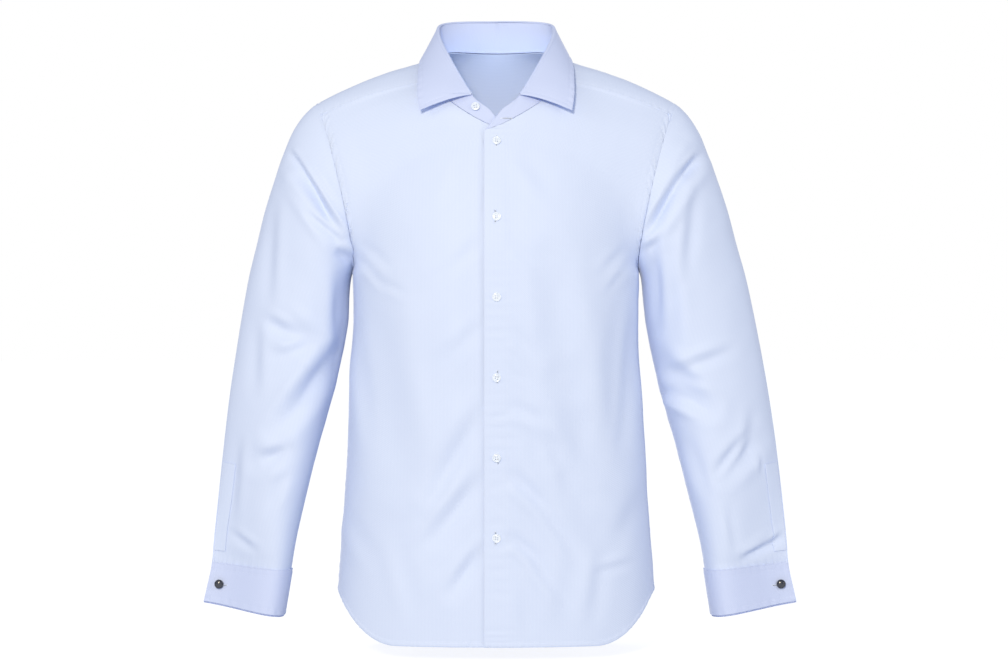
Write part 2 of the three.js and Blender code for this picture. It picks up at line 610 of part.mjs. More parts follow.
// The leaf rolls over the top of the stand and falls to its own outer edge
function makeLeaf(tops) {
  const whole = chainLength(tops);
  const spare = leafStart / whole;
  const first = spare + leafColumnGap / whole;
  const edge = wholeChain(leafEdge);
  const corners = tops.map((_, i) => chainLength(tops.slice(0, i + 1)) / whole);
  const clear = corners.filter((place) => place > first && place < 1 - first);
  const columns = [spare, ...clear, 1 - spare].map((place) => {
    const share = (place - spare) / (1 - 2 * spare);
    const top = alongChain(tops, place);
    const out = outOfNeck(top).normalize();
    const bottom = alongChain(edge, share);
    const nearEnd = 1 - smooth(Math.min(share, 1 - share), 0, leafArchReach);
    const falls = steps(leafRows).slice(1).map((t) => {
      const point = top.clone().addScaledVector(out, leafRoll + collarWall).lerp(bottom, t);
      const arch = vector(0, 0, leafArch * nearEnd * Math.sin(Math.PI * t ** leafArchLean));
      return point.add(arch).addScaledVector(out, leafBelly * Math.sin(Math.PI * t));
    });
    const at = (up, away) => top.clone().add(vector(0, 0, up)).addScaledVector(out, away);
    const ridge = foldGap + collarWall;
    const over = [at(ridge, -collarWall), at(ridge, leafTop.outside), at(0, leafRoll + collarWall)];
    const inner = [at(foldGap, -collarWall), at(foldGap, leafTop.inside), at(-leafTop.drop, leafRoll)];
    return { outer: [...over, ...falls], inner };
  });
  const turned = (key) => columns[0][key].map((_, r) => columns.map((column) => column[key][r]));
  const outer = turned('outer');
  const normals = gridNormals(outer, outOfNeck);
  const inner = [...turned('inner'), ...offset(outer, normals, -collarWall).slice(3)];
  return solidBetween(outer, inner);
}

// The place on a grid that lies at x and z as seen from the front, with the way it faces
function touch(grid, x, z) {
  for (let r = 0; r < grid.length - 1; r++) {
    for (let c = 0; c < grid[0].length - 1; c++) {
      const corners = [grid[r][c], grid[r][c + 1], grid[r + 1][c + 1], grid[r + 1][c]];
      for (const [i, j, k] of [[0, 1, 2], [0, 2, 3]]) {
        const flat = [i, j, k].map((n) => vector(corners[n].x, corners[n].z, 0));
        const triangle = new THREE.Triangle(...flat);
        const weights = vector(0, 0, 0);
        if (!triangle.getBarycoord(vector(x, z, 0), weights)) continue;
        if (Math.min(weights.x, weights.y, weights.z) < 0) continue;
        const y = weights.x * corners[i].y + weights.y * corners[j].y + weights.z * corners[k].y;
        const normal = new THREE.Triangle(corners[i], corners[j], corners[k]).getNormal(vector(0, 0, 0));
        return { point: vector(x, y, z), normal };
      }
    }
  }
  throw new Error(`no cloth at ${x}, ${z}`);
}

function buttonGeometry() {
  const { radius, height, bevel, rim, rimSlope, dish } = button;
  const profile = [[0, 0], [radius - bevel, 0], [radius, height / 2], [radius - bevel, height],
    [radius - rim, height], [radius - rim - rimSlope, height - dish], [0, height - dish]];
  return new THREE.LatheGeometry(profile.map(([x, y]) => new THREE.Vector2(x, y)), button.sides);
}

function addButton(name, grid, x, z) {
  const seat = touch(grid, x, z);
  if (seat.normal.y > 0) seat.normal.negate();
  const rims = steps(button.sides).map((t) => [Math.cos(2 * Math.PI * t), Math.sin(2 * Math.PI * t)]);
  const proud = rims.map(([right, up]) => touch(grid, x + right * button.radius, z + up * button.radius).point
    .sub(seat.point).dot(seat.normal));
  const mesh = add(name, buttonGeometry(), pearl);
  mesh.position.copy(seat.point.addScaledVector(seat.normal, buttonSeat + Math.max(0, ...proud)));
  mesh.quaternion.setFromUnitVectors(vector(0, 1, 0), seat.normal);
}

// A link: two heads on one post, which passes through both ends of the cuff
function addLink(name, side, seat) {
  const { headRadius, headHeight, postRadius, rim } = link;
  const head = (y, way) => [[postRadius, y], [headRadius, y], [headRadius, y + way * headHeight * rim],
    [headRadius * linkDome.radius, y + way * headHeight * linkDome.rise], [0, y + way * headHeight]];
  const profile = [...head(seat.front - layerGap, -1).reverse(), ...head(seat.back + layerGap, 1)];
  const points = profile.map(([x, y]) => new THREE.Vector2(x, y));
  const mesh = add(name, new THREE.LatheGeometry(points, link.sides), darkEnamel);
  mesh.position.set(side * seat.x, 0, seat.z);
}

const sleevePlaces = () => [...steps(sleeveSteps).map((t) => cuffTopRing * t)];

function sleeveGrid(side, folds) {
  const flat = sleevePlaces().map((place) => armholeAngles.map((angle) => ringPoint(place, angle, side)));
  const centre = (r) => {
    const ring = ringAt(sleevePlaces()[r], side);
    return vector((ring.outX + ring.inX) / 2, ring.shiftY, (ring.outZ + ring.inZ) / 2);
  };
  const wrapRows = (grid) => gridNormals(grid, (point, r) => point.clone().sub(centre(r)), true);
  const normals = wrapRows(flat);
  const last = flat.length - 1;
  const shaped = flat.map((row, r) => row.map((point, c) => {
    const table = armholeAngles[c] < Math.PI ? folds : backSleeveFolds;
    const facing = Math.abs(Math.sin(armholeAngles[c])) ** 0.5;
    const held = smooth(r, 0, 2) * smooth(last - r, 0, 2) * facing;
    return point.clone().addScaledVector(normals[r][c], -held * foldDepth(point, table));
  }));
  return { shaped, normals };
}

function makeSleeve(side, folds) {
  const { shaped, normals } = sleeveGrid(side, folds);
  normals[0] = normals[0].map((normal, c) => turnToArmhole(normal, armholeAngles[c]));
  const outer = drawBack(shaped, { bottom: armholeInset, top: seamInset });
  const inner = offset(outer, normals, -clothWall);
  const mirrored = side < 0 ? mirrorX : (grid) => grid;
  return { shaped, normals, outer: mirrored(outer), inner: mirrored(inner) };
}

// The strip beside the sleeve's slit, laid on the sleeve's own points
function makeSleevePlacket(side, sleeve) {
  const firstColumn = upperRows - 1;
  const lastColumn = upperRows + yokeRidgeSteps - 1;
  const firstRow = sleeveSteps - placketSteps;
  const take = (grid) => grid.slice(firstRow, sleeveSteps)
    .map((row) => row.slice(firstColumn, lastColumn + 1));
  const base = take(sleeve.shaped);
  const normals = take(sleeve.normals);
  const outer = offset(base, normals, placketGap + clothWall);
  const inner = offset(base, normals, placketGap);
  return side < 0 ? solidBetween(mirrorX(outer), mirrorX(inner)) : solidBetween(outer, inner);
}

// A double cuff: the band hangs from the sleeve, turns up at the bottom and covers itself
function makeCuff(side) {
  const edge = radians(cuff.edgeAngle);
  const turns = armholeAngles.map((angle) => (angle > Math.PI ? angle - 2 * Math.PI : angle));
  const kept = turns.filter((angle) => Math.abs(angle) < edge - cuff.leastStep).sort((a, b) => b - a);
  const angles = [edge, ...kept, -edge];
  const bandGrid = cuffBand.map((down) => angles.map((angle) => ringPoint(cuffTopRing + down, angle, side)));
  const middle = (row) => row.reduce((sum, p) => sum.add(p), vector(0, 0, 0)).divideScalar(row.length);
  const centres = bandGrid.map(middle);
  const normals = gridNormals(bandGrid, (point, r, c) => {
    const nearEdge = Math.abs(angles[c]) > radians(cuff.edgeFrom);
    return nearEdge ? vector(0, -Math.sign(angles[c]), 0) : point.clone().sub(centres[r]);
  });
  const place = (r, c, out, drop) => {
    const nearEdge = smooth(Math.abs(angles[c]), radians(cuff.edgeFrom), radians(cuff.edgeTo));
    const apart = Math.sign(angles[c]) * cuff.edgeRoom * nearEdge;
    return bandGrid[r][c].clone().addScaledVector(normals[r][c], out).add(vector(0, -apart / 2, -drop));
  };
  const over = cuff.layerGap + cuff.wall;
  const rows = [
    { ring: 0, outer: over, inner: cuff.layerGap, drop: cuffDrops.coverTop },
    { ring: 1, outer: over, inner: cuff.layerGap, drop: 0 },
    { ring: 2, outer: over, inner: cuff.layerGap, drop: 0 },
    { ring: 3, outer: over, inner: cuff.layerGap, drop: 0 },
    {
      ring: 3, outer: cuff.layerGap / 2, inner: cuff.layerGap / 2,
      drop: cuffDrops.foldOutside, innerDrop: cuffDrops.foldInside,
    },
    { ring: 3, outer: -cuff.wall, inner: 0, drop: 0 },
    { ring: 2, outer: -cuff.wall, inner: 0, drop: 0 },
    { ring: 1, outer: -cuff.wall, inner: 0, drop: 0 },
    { ring: 0, outer: -cuff.wall, inner: 0, drop: cuffDrops.bandTop },
  ];
  const outer = rows.map((row) => angles.map((_, c) => place(row.ring, c, row.outer, row.drop)));
  const inner = rows.map(({ ring, inner: out, drop, innerDrop = drop }) =>
    angles.map((_, c) => place(ring, c, out, innerDrop)));
  const covers = outer.slice(0, cuffBand.length);
  const middleColumn = angles.findIndex((angle) => angle < 0);
  const tip = ringAt(cuffTopRing + linkPlace.down, side);
  const x = tip.outX - linkPlace.fromEdge;
  const z = lerp(tip.outZ, tip.inZ, linkPlace.fromEdge / (tip.outX - tip.inX));
  const around = [-link.headRadius, 0, link.headRadius];
  const under = around.flatMap((right) => around.map((up) => [x + right, z + up]));
  const reach = (columns, pick) => pick(...under.map(([atX, atZ]) => touch(columns, atX, atZ).point.y));
  const front = reach(covers.map((row) => row.slice(0, middleColumn)), Math.min);
  const rear = reach(covers.map((row) => row.slice(middleColumn)), Math.max);
  return { outer, inner, seat: { x, z, front, back: rear } };
}

function toManifold(geometry) {
  const bare = geometry.clone();
  bare.deleteAttribute('normal');
  bare.deleteAttribute('uv');
  const merged = mergeVertices(bare, sameCorner);
  const vertProperties = new Float32Array(merged.attributes.position.array);
  const triVerts = new Uint32Array(merged.index.array);
  return new wasm.Manifold(new wasm.Mesh({ numProp: 3, vertProperties, triVerts }));
}

// Cut the link's hole through every layer of a cuff
function cutLinkHole(geometry, x, seat) {
  const { holeRadius, holeSpare } = linkPlace;
  const length = seat.back - seat.front + 2 * holeSpare;
  const hole = new THREE.CylinderGeometry(holeRadius, holeRadius, length, link.sides);
  hole.translate(x, (seat.front + seat.back) / 2, seat.z);
  const mesh = toManifold(geometry).subtract(toManifold(hole)).getMesh();
  const cut = new THREE.BufferGeometry();
  cut.setAttribute('position', new THREE.Float32BufferAttribute(mesh.vertProperties, 3));
  cut.setIndex(Array.from(mesh.triVerts));
  cut.computeVertexNormals();
  return cut;
}

function addCuff(name, side, made) {
  const [outer, inner] = side < 0 ? [mirrorX(made.outer), mirrorX(made.inner)] : [made.outer, made.inner];
  add(name, cutLinkHole(solidBetween(outer, inner), side * made.seat.x, made.seat));
}

const group = new THREE.Group();
const cloth = new THREE.MeshStandardMaterial({ color: 0xd6e1f8, roughness: 0.75, metalness: 0 });
const pearl = new THREE.MeshStandardMaterial({ color: 0xf6f4ee, roughness: 0.25, metalness: 0 });
const darkEnamel = new THREE.MeshStandardMaterial({ color: 0x171d29, roughness: 0.35, metalness: 0.2 });

function add(name, geometry, material = cloth) {
  const mesh = new THREE.Mesh(geometry, material);
  mesh.name = name;
  group.add(mesh);
  return mesh;
}

const frontLeft = makeFront(1);
const frontRight = makeFront(-1);
const back = makeBack();
const yoke = makeYoke(frontLeft, back);
const sleeveLeft = makeSleeve(1, leftSleeveFolds);
const sleeveRight = makeSleeve(-1, rightSleeveFolds);

add('front_left', solidBetween(frontLeft.outer, frontLeft.inner));
add('front_right', solidBetween(frontRight.outer, frontRight.inner));
add('back', solidBetween(back.outer, back.inner));
add('yoke', solidBetween(yoke.outer, yoke.inner));
add('sleeve_left', solidBetween(sleeveLeft.outer, sleeveLeft.inner, true));
add('sleeve_right', solidBetween(sleeveRight.outer, sleeveRight.inner, true));
add('placket_left', makeSleevePlacket(1, sleeveLeft));
add('placket_right', makeSleevePlacket(-1, sleeveRight));

const cuffLeft = makeCuff(1);
const cuffRight = makeCuff(-1);
addCuff('cuff_left', 1, cuffLeft);
addCuff('cuff_right', -1, cuffRight);
addLink('cufflink_left', 1, cuffLeft.seat);
addLink('cufflink_right', -1, cuffRight.seat);

const stand = makeStand(neckChain(frontLeft, yoke, frontRight));
add('collar_stand', solidBetween(stand.outer, stand.inner));
add('collar_leaf', makeLeaf(stand.tops));

for (let i = 0; i < frontButtons.count; i++) {
  const z = i === 0 ? frontButtons.firstZ : frontButtons.secondZ - (i - 1) * frontButtons.pitch;
  addButton(`button_${i + 1}`, frontLeft.outer, frontButtons.x, z);
}
const rightEnd = stand.outer.map((row) => row.slice(-collarButton.columns));
addButton('button_collar', rightEnd, collarButton.x, collarButton.z);

export default group;
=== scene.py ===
import math

import bpy
import numpy as np
from mathutils import Matrix, Vector


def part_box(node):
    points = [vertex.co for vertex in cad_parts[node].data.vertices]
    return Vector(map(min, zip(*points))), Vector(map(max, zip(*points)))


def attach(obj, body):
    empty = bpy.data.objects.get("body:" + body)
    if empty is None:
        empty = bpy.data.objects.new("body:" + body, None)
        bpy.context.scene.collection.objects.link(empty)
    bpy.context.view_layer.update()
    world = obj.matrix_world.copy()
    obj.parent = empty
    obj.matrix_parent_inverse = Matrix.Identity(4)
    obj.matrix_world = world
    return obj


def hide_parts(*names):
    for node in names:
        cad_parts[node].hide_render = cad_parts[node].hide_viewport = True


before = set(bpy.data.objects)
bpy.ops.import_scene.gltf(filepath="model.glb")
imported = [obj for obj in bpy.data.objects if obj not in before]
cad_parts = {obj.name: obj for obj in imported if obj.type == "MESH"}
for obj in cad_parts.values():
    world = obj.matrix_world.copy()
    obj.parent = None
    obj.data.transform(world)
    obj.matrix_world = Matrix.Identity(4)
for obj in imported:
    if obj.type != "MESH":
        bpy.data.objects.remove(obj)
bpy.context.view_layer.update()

# Everything is worked out in millimetres, in the shirt's own frame, and turned to metres in the meshes.
# +Z is up, the front faces -Y and +X is the wearer's left.

METRES = 0.001
SHELL = 0.9
COLLAR_SHELL = 1.3

UNDERARM_Z = -262
TORSO_ROUND = 2.35
HEM_SIDE_Z, HEM_FRONT_Z, HEM_BACK_Z = -664, -724, -738
TAIL_START, TAIL_END = 0.38, 0.94
LAP_HALF, LAP_FADE_FROM, LAP_FADE_TO, LAP_LIFT = 14, 22, 58, 1.25
UPPER_ROWS, NECK_CORNER_ROW = 9, 4
NECK_SIDE_X, NECK_SIDE_Z, NECK_FRONT_Z, NECK_CURVE = 84, -28, -93, 1.6
NECK_BACK_Y, NECK_BACK_Z, NECK_RISE = 70, 17, 2.5
BACK_YOKE_Z = -78
LEVEL_ROW_BEND = 2.8
FRONT_CROWN, FRONT_HOLLOW, SHOULDER_CROWN, BACK_CROWN = 5, 4.5, 12.5, 6
CUFF_TOP_RING = 15
EGG_SKEW, ARMHOLE_BOW, BOW_FADE_RINGS = 0.25, 11, 3
YOKE_FRONT_ANGLE, YOKE_BACK_ANGLE = 149.5, 234
YOKE_RIDGE_STEPS, YOKE_SHOULDER_STEPS, YOKE_STEPS = 2, 5, 15
SLEEVE_STEPS = 22


def table(names, *rows):
    """A table with a named column for each size, a row for each section."""
    return dict(zip(names.split(), np.array(rows, float).T))


TORSO = table(
    "z half_width front back",
    (-740, 201, 124, 118),
    (-665, 199, 123, 116),
    (-600, 194.5, 121, 113),
    (-520, 189, 121, 111),
    (-440, 184, 123, 112),
    (-360, 179.5, 127, 118),
    (-262, 179.5, 130, 126),
)
FRONT_DEPTHS = table(
    "z depth",
    (UNDERARM_Z, 130), (-221, 128.3), (-179, 122.5), (-137, 110.5), (-93, 93.5),
    (-74, 85), (-56, 74.5), (-38, 59.5), (-28, 46),
)
BACK_ROWS = table("depth", *[(d,) for d in (126, 127, 127, 126.5, 125, 123, 120, 116, 111, 105)])
RINGS = table(
    "out_x out_z in_x in_z front back shift_y tear",
    (229, -54.5, 180, -262, 64, 64, 0, 0),
    (243, -69, 182, -267, 67, 67, 0, 0),
    (256, -90, 183, -274, 68, 68, 0, 0),
    (268, -119, 184, -284, 67, 67, 1, 0),
    (280, -152, 185, -296, 66, 65, 2, 0),
    (292, -188, 186.5, -311, 65, 63, 3, 0),
    (303, -229, 188.5, -328, 63, 61, 4, 0),
    (315, -272, 192.5, -350, 61, 59, 4, 0),
    (325, -318, 198, -377, 59, 57, 3, 0),
    (334, -365, 206, -411, 57, 56, 1, 0),
    (343, -417, 217, -450, 56, 55, -2, 0.1),
    (350.5, -470, 229.5, -495, 55, 54, -6, 0.3),
    (357, -524, 241, -541, 54, 53, -10, 0.7),
    (362, -572, 251.5, -583, 53, 52, -13, 1.2),
    (365, -605, 258, -613, 52, 51, -15, 1.7),
    (367, -631, 262, -639, 51, 50, -16, 2.3),
    (377, -677, 270.5, -694, 52, 51, -18, 2.5),
)
RIGHT_HANG = table(
    "out near",
    (0, 0), (-1, 0), (0, 0), (1.5, 2), (5, 2.5), (8, 3), (10.5, 3.5), (10.5, 5), (10, 4.5),
)
FOLD_LINE = table(
    "x y z",
    (12, -81, -60), (19, -80.5, -57.5), (29, -76, -48.5), (42, -65, -28), (57, -45, -1),
    (70, -12, 26), (73, 20, 44), (65, 46, 52), (40, 63, 56), (0, 69, 57),
)
LEAF_EDGE = table(
    "x y z",
    (94, -86, -67), (97, -73, -46), (97.5, -54, -26), (97.5, -30, -10), (96, -5, 1.5),
    (92, 20, 5), (82, 46, 6), (58, 72, 5), (30, 84, 5), (0, 87, 5),
)

# Folds: a soft trough from one end to the other, as seen from the front, with the cloth swelling beside it
FOLD_COLUMNS = "x0 z0 x1 z1 width depth"
FRONT_FOLDS = table(
    FOLD_COLUMNS,
    (-15, -436, -80, -530, 15, 3.5),
    (-15, -506, -66, -588, 14, 3),
    (-14, -606, -50, -655, 12, 2.5),
    (18, -436, 62, -490, 15, 3),
    (62, -490, 136, -604, 18, 3.5),
    (68, -252, 88, -400, 20, 4),
    (88, -400, 118, -530, 20, 4.5),
    (-150, -300, -118, -520, 22, 4),
    (158, -300, 150, -500, 18, 3.5),
)
BACK_FOLDS = table(
    FOLD_COLUMNS,
    (-45, -120, -85, -430, 24, 5),
    (50, -125, 96, -470, 24, 5),
    (-20, -400, -110, -520, 20, 4),
    (10, -440, 120, -600, 20, 4),
    (-150, -290, -120, -500, 20, 4),
)
LEFT_SLEEVE_FOLDS = table(
    FOLD_COLUMNS,
    (256, -114, 222, -162, 11, 6),
    (222, -162, 189, -212, 11, 6),
    (196, -368, 264, -436, 12, 6),
    (326, -474, 284, -516, 12, 5),
    (205, -250, 212, -350, 15, 5),
    (352, -603, 314, -624, 9, 4),
)
RIGHT_SLEEVE_FOLDS = table(
    FOLD_COLUMNS,
    (252, -130, 193, -202, 10, 6),
    (246, -154, 200, -220, 10, 5),
    (204, -372, 272, -466, 13, 5),
    (266, -330, 222, -360, 13, 4),
    (262, -488, 294, -502, 12, 4),
)
BACK_SLEEVE_FOLDS = table(
    FOLD_COLUMNS,
    (262, -140, 200, -230, 13, 6),
    (205, -380, 290, -430, 14, 6),
    (300, -400, 235, -470, 14, 6),
    (330, -520, 262, -560, 12, 5),
)

# Finer creases that only the cloth shows
FRONT_CREASES = table(
    FOLD_COLUMNS,
    (-140, -280, -112, -292, 5, 1.6),
    (-24, -120, -60, -190, 12, 1.4),
    (30, -118, 74, -176, 12, 1.2),
    (-16, -226, -60, -270, 9, 1.2),
    (17, -228, 52, -262, 8, 1.1),
    (-15, -330, -58, -372, 10, 1.5),
    (17, -332, 50, -372, 9, 1.3),
    (-13, -430, -88, -566, 11, 2.6),
    (-11, -512, -90, -606, 10, 2.7),
    (-11, -598, -54, -656, 8, 2.6),
    (14, -428, 60, -448, 8, 2.0),
    (56, -444, 92, -526, 10, 3.0),
    (14, -508, 62, -553, 9, 3.6),
    (54, -545, 100, -612, 9, 3.4),
    (14, -586, 50, -615, 7, 3.2),
    (44, -610, 84, -668, 8, 2.8),
    (132, -610, 120, -690, 10, 2.2),
    (164, -626, 124, -634, 6, 2.4),
    (-172, -330, -156, -470, 9, 2.2),
    (176, -300, 160, -470, 9, 2.2),
    (-162, -232, -128, -262, 6, 1.6),
    (-166, -250, -136, -288, 5, 1.2),
    (160, -236, 130, -268, 6, 1.4),
    (164, -256, 138, -292, 5, 1.1),
    (-188, -560, -150, -620, 12, 1.6),
    (186, -540, 150, -596, 12, 1.4),
    (-118, -600, -96, -690, 12, 1.5),
    (96, -612, 80, -700, 12, 1.4),
    (30, -640, 44, -712, 10, 1.2),
)
# Small puckers beside the front edge, left by its stitching
EDGE_PUCKERS = table(
    FOLD_COLUMNS,
    (-33, -370, -17, -385, 3.6, 0.9),
    (-36, -398, -16, -405, 3.4, 0.8),
    (-30, -288, -16, -294, 3.2, 0.5),
    (-34, -196, -17, -190, 3.4, 0.5),
    (-30, -470, -16, -463, 3.4, 0.6),
    (-32, -654, -16, -644, 3.6, 0.7),
    (-30, -676, -17, -668, 3.2, 0.6),
    (17, -362, 27, -377, 3.6, 0.9),
    (20, -392, 38, -400, 3.4, 0.7),
    (17, -290, 34, -298, 3.4, 0.5),
    (-6, -214, 12, -210, 3.2, 0.4),
    (-7, -342, 9, -338, 3.2, 0.5),
    (-6, -446, 20, -438, 3.4, 0.8),
    (-4, -468, 24, -474, 3.4, 0.6),
    (-8, -496, 10, -500, 3.2, 0.6),
    (-6, -531, 12, -527, 3.4, 0.7),
    (-5, -552, 14, -558, 3.2, 0.7),
    (-8, -574, 10, -571, 3.2, 0.5),
    (2, -604, 24, -596, 3.6, 0.8),
    (-7, -634, 11, -630, 3.2, 0.6),
    (-4, -658, 16, -664, 3.4, 0.6),
    (-7, -684, 9, -681, 3.2, 0.5),
)
BACK_CREASES = table(
    FOLD_COLUMNS,
    (-160, -232, -120, -270, 7, 1.8),
    (158, -236, 122, -276, 7, 1.6),
    (-110, -560, -60, -640, 12, 1.6),
    (60, -540, 90, -650, 12, 1.5),
    (-20, -180, -34, -300, 14, 1.6),
    (22, -200, 30, -330, 14, 1.4),
    (-170, -420, -130, -470, 10, 1.6),
    (172, -430, 136, -486, 10, 1.5),
    (0, -600, 14, -700, 14, 1.4),
)
LEFT_SLEEVE_CREASES = table(
    FOLD_COLUMNS,
    (256, -121, 229, -150, 6, 6),
    (229, -150, 188, -216, 6, 6),
    (250, -166, 236, -275, 9, 3.2),
    (197, -340, 194, -238, 9, 5),
    (204, -224, 186, -240, 6, 4),
    (292, -364, 221, -391, 8, 3.2),
    (203, -409, 255, -435, 8, 5),
    (230, -392, 268, -404, 7, 2.4),
    (274, -512, 308, -468, 6, 4),
    (322, -440, 312, -500, 8, 2.2),
    (331, -495, 332, -514, 4, 1.6),
    (357, -596, 345, -606, 5, 3),
    (345, -606, 308, -622, 5, 3.2),
    (290, -560, 300, -612, 7, 2),
    (238, -470, 262, -540, 9, 2.4),
)
RIGHT_SLEEVE_CREASES = table(
    FOLD_COLUMNS,
    (256, -117, 186, -223, 4.6, 5.5),
    (243, -146, 193, -224, 5.5, 4.5),
    (232, -196, 188, -232, 5.5, 4),
    (198, -238, 180, -254, 8, 6),
    (195, -362, 192, -272, 10, 5),
    (245, -437, 186, -351, 14, 6),
    (287, -325, 257, -343, 8, 3.6),
    (270, -369, 231, -360, 8, 3.2),
    (287, -497, 259, -485, 7, 3),
    (280, -183, 285, -300, 9, 3),
    (300, -331, 302, -414, 9, 2.6),
    (322, -474, 332, -573, 8, 2.6),
    (262, -512, 282, -560, 8, 2.2),
    (330, -592, 300, -612, 6, 2.4),
)
BACK_SLEEVE_CREASES = table(
    FOLD_COLUMNS,
    (250, -120, 196, -206, 6, 2.2),
    (300, -330, 240, -352, 8, 1.6),
    (214, -430, 262, -470, 7, 1.8),
    (334, -470, 300, -496, 7, 1.4),
    (270, -590, 320, -606, 6, 1.4),
)


def lerp(a, b, t):
    return a + (b - a) * t


def smooth(x, low, high):
    t = np.clip((x - low) / (high - low), 0, 1)
    return t * t * (3 - 2 * t)


def unit(v):
    return v / np.maximum(np.linalg.norm(v, axis=-1, keepdims=True), 1e-9)


def signed_power(value, power):
    return np.sign(value) * np.abs(value) ** power


def read(columns, place):
    """A smooth curve through the rows of a table, at fractional row numbers."""
    last = len(next(iter(columns.values()))) - 1
    row = np.clip(np.floor(place).astype(int), 0, last - 1)
    t = np.clip(place - row, 0, 1)
    result = {}
    for name, column in columns.items():
        a, b, c, d = (column[np.clip(row + k, 0, last)] for k in (-1, 0, 1, 2))
        bend = (2 * b - 2 * c + (c - a) / 2 + (d - b) / 2) * t**3
        lean = (3 * (c - b) - (c - a) - (d - b) / 2) * t**2
        result[name] = b + (c - a) / 2 * t + lean + bend
    return result


def read_at_height(columns, z):
    return read(columns, np.interp(z, columns["z"], np.arange(len(columns["z"]))))


def torso_at(z):
    return read_at_height(TORSO, z)


def spaced(count, marks=(), width=0.03, weight=5):
    """Steps from 0 to 1 that lie closer together beside the marks."""
    s = np.linspace(0, 1, 4001)
    density = 1 + weight * sum((np.exp(-(((s - mark) / width) ** 2)) for mark in marks), np.zeros_like(s))
    total = np.concatenate([[0], np.cumsum((density[1:] + density[:-1]) / 2)])
    return np.interp(np.linspace(0, 1, count + 1), total / total[-1], s)


def ring_at(place, side):
    """A ring of the sleeve, which hangs nearer the body on the wearer's right side."""
    ring = read(RINGS, place)
    if side < 0:
        hang = read(RIGHT_HANG, place / 2)
        ring["out_x"] = ring["out_x"] - hang["out"]
        ring["in_x"] = ring["in_x"] - hang["near"]
    return ring


def ring_point(place, angle, side=1):
    """The egg-shaped section that the armhole and every sleeve ring share. Angle 0 is the underarm."""
    place, angle = np.broadcast_arrays(np.asarray(place, float), np.asarray(angle, float))
    ring = ring_at(place, side)
    up = (1 - np.cos(angle)) / 2
    pinch = np.abs(np.cos(angle / 2)) ** ring["tear"]
    reach = np.sin(angle) * (1 + EGG_SKEW * np.cos(angle)) * pinch
    depth = np.where(reach > 0, ring["front"], ring["back"])
    bow = ARMHOLE_BOW * np.abs(np.sin(angle)) * (1 - smooth(place, 0, BOW_FADE_RINGS))
    x = lerp(ring["in_x"], ring["out_x"], up) - bow
    return np.stack([x, ring["shift_y"] - depth * reach, lerp(ring["in_z"], ring["out_z"], up)], -1)


def lower_point(turn, up, face):
    """The torso below the armholes. turn runs from 0 at the centre to 1 at the side seam."""
    centre_hem = HEM_FRONT_Z if face < 0 else HEM_BACK_Z
    hem = lerp(centre_hem, HEM_SIDE_Z, smooth(np.abs(turn), TAIL_START, TAIL_END))
    z = lerp(hem, UNDERARM_Z, up)
    section = torso_at(z)
    angle = turn * math.pi / 2
    x = section["half_width"] * signed_power(np.sin(angle), 2 / TORSO_ROUND)
    depth = section["front"] if face < 0 else section["back"]
    return np.stack([x, face * depth * np.maximum(np.cos(angle), 0) ** (2 / TORSO_ROUND), z], -1)


def upper_rows(start_x, start_z, depth, face, angle, crown, hollow, bend, fractions):
    """Rows above the underarm: arcs with a given depth on the centre line, which end on the armhole."""
    end = ring_point(0, angle)
    power = TORSO_ROUND / 2
    end_turn = np.arccos(np.minimum(np.abs(end[..., 1]) / depth, 1) ** power)
    half_width = end[..., 0] / np.sin(end_turn) ** (1 / power)
    start_turn = np.arcsin(signed_power(start_x / half_width, power))
    turn = lerp(start_turn, end_turn, fractions)
    x = half_width * signed_power(np.sin(turn), 1 / power)
    along = np.maximum((x - start_x) / (end[..., 0] - start_x), 0)
    swell = np.sin(math.pi * along)
    z = lerp(start_z, end[..., 2], along**bend) + crown * swell
    return np.stack([x, face * (depth * np.cos(turn) ** (1 / power) - hollow * swell**2), z], -1)


def fold_depth(points, folds):
    depth = np.zeros(points.shape[:-1])
    for x0, z0, x1, z1, width, deep in zip(*folds.values()):
        run_x, run_z = x1 - x0, z1 - z0
        from_x, from_z = points[..., 0] - x0, points[..., 2] - z0
        along = np.clip((from_x * run_x + from_z * run_z) / (run_x**2 + run_z**2), 0, 1)
        away = np.hypot(from_x - along * run_x, from_z - along * run_z) / width
        trough = np.exp(-(away**2)) - 0.45 * np.exp(-((away - 1.7) ** 2) / 0.5)
        depth += deep * trough * np.sin(math.pi * lerp(0.12, 0.88, along))
    return depth


def crease_depth(points, creases):
    """Sharper folds: a trough with a ridge along the right-hand side of its line, seen from the front."""
    depth = np.zeros(points.shape[:-1])
    for x0, z0, x1, z1, width, deep in zip(*creases.values()):
        run_x, run_z = x1 - x0, z1 - z0
        length = math.hypot(run_x, run_z)
        from_x, from_z = points[..., 0] - x0, points[..., 2] - z0
        along = np.clip((from_x * run_x + from_z * run_z) / length**2, 0, 1)
        off_x, off_z = from_x - along * run_x, from_z - along * run_z
        away = np.hypot(off_x, off_z) / width
        right = (off_x * run_z - off_z * run_x) / (length * width)
        ridge = np.exp(-(((right - 1.5) / 0.9) ** 2) - np.maximum(away**2 - right**2, 0))
        depth += deep * (np.exp(-(away**2)) - 0.7 * ridge) * np.sin(math.pi * lerp(0.1, 0.9, along))
    return depth


def ripple(points, wavelength, seed):
    """Smooth unevenness of about -1 to 1, the same each time."""
    random = np.random.default_rng(seed)
    total = np.zeros(points.shape[:-1])
    for _ in range(7):
        wave = unit(random.normal(size=3)) * 2 * math.pi / (wavelength * random.uniform(0.7, 1.6))
        total += np.sin(points @ wave + random.uniform(0, 2 * math.pi))
    return total / 3.5


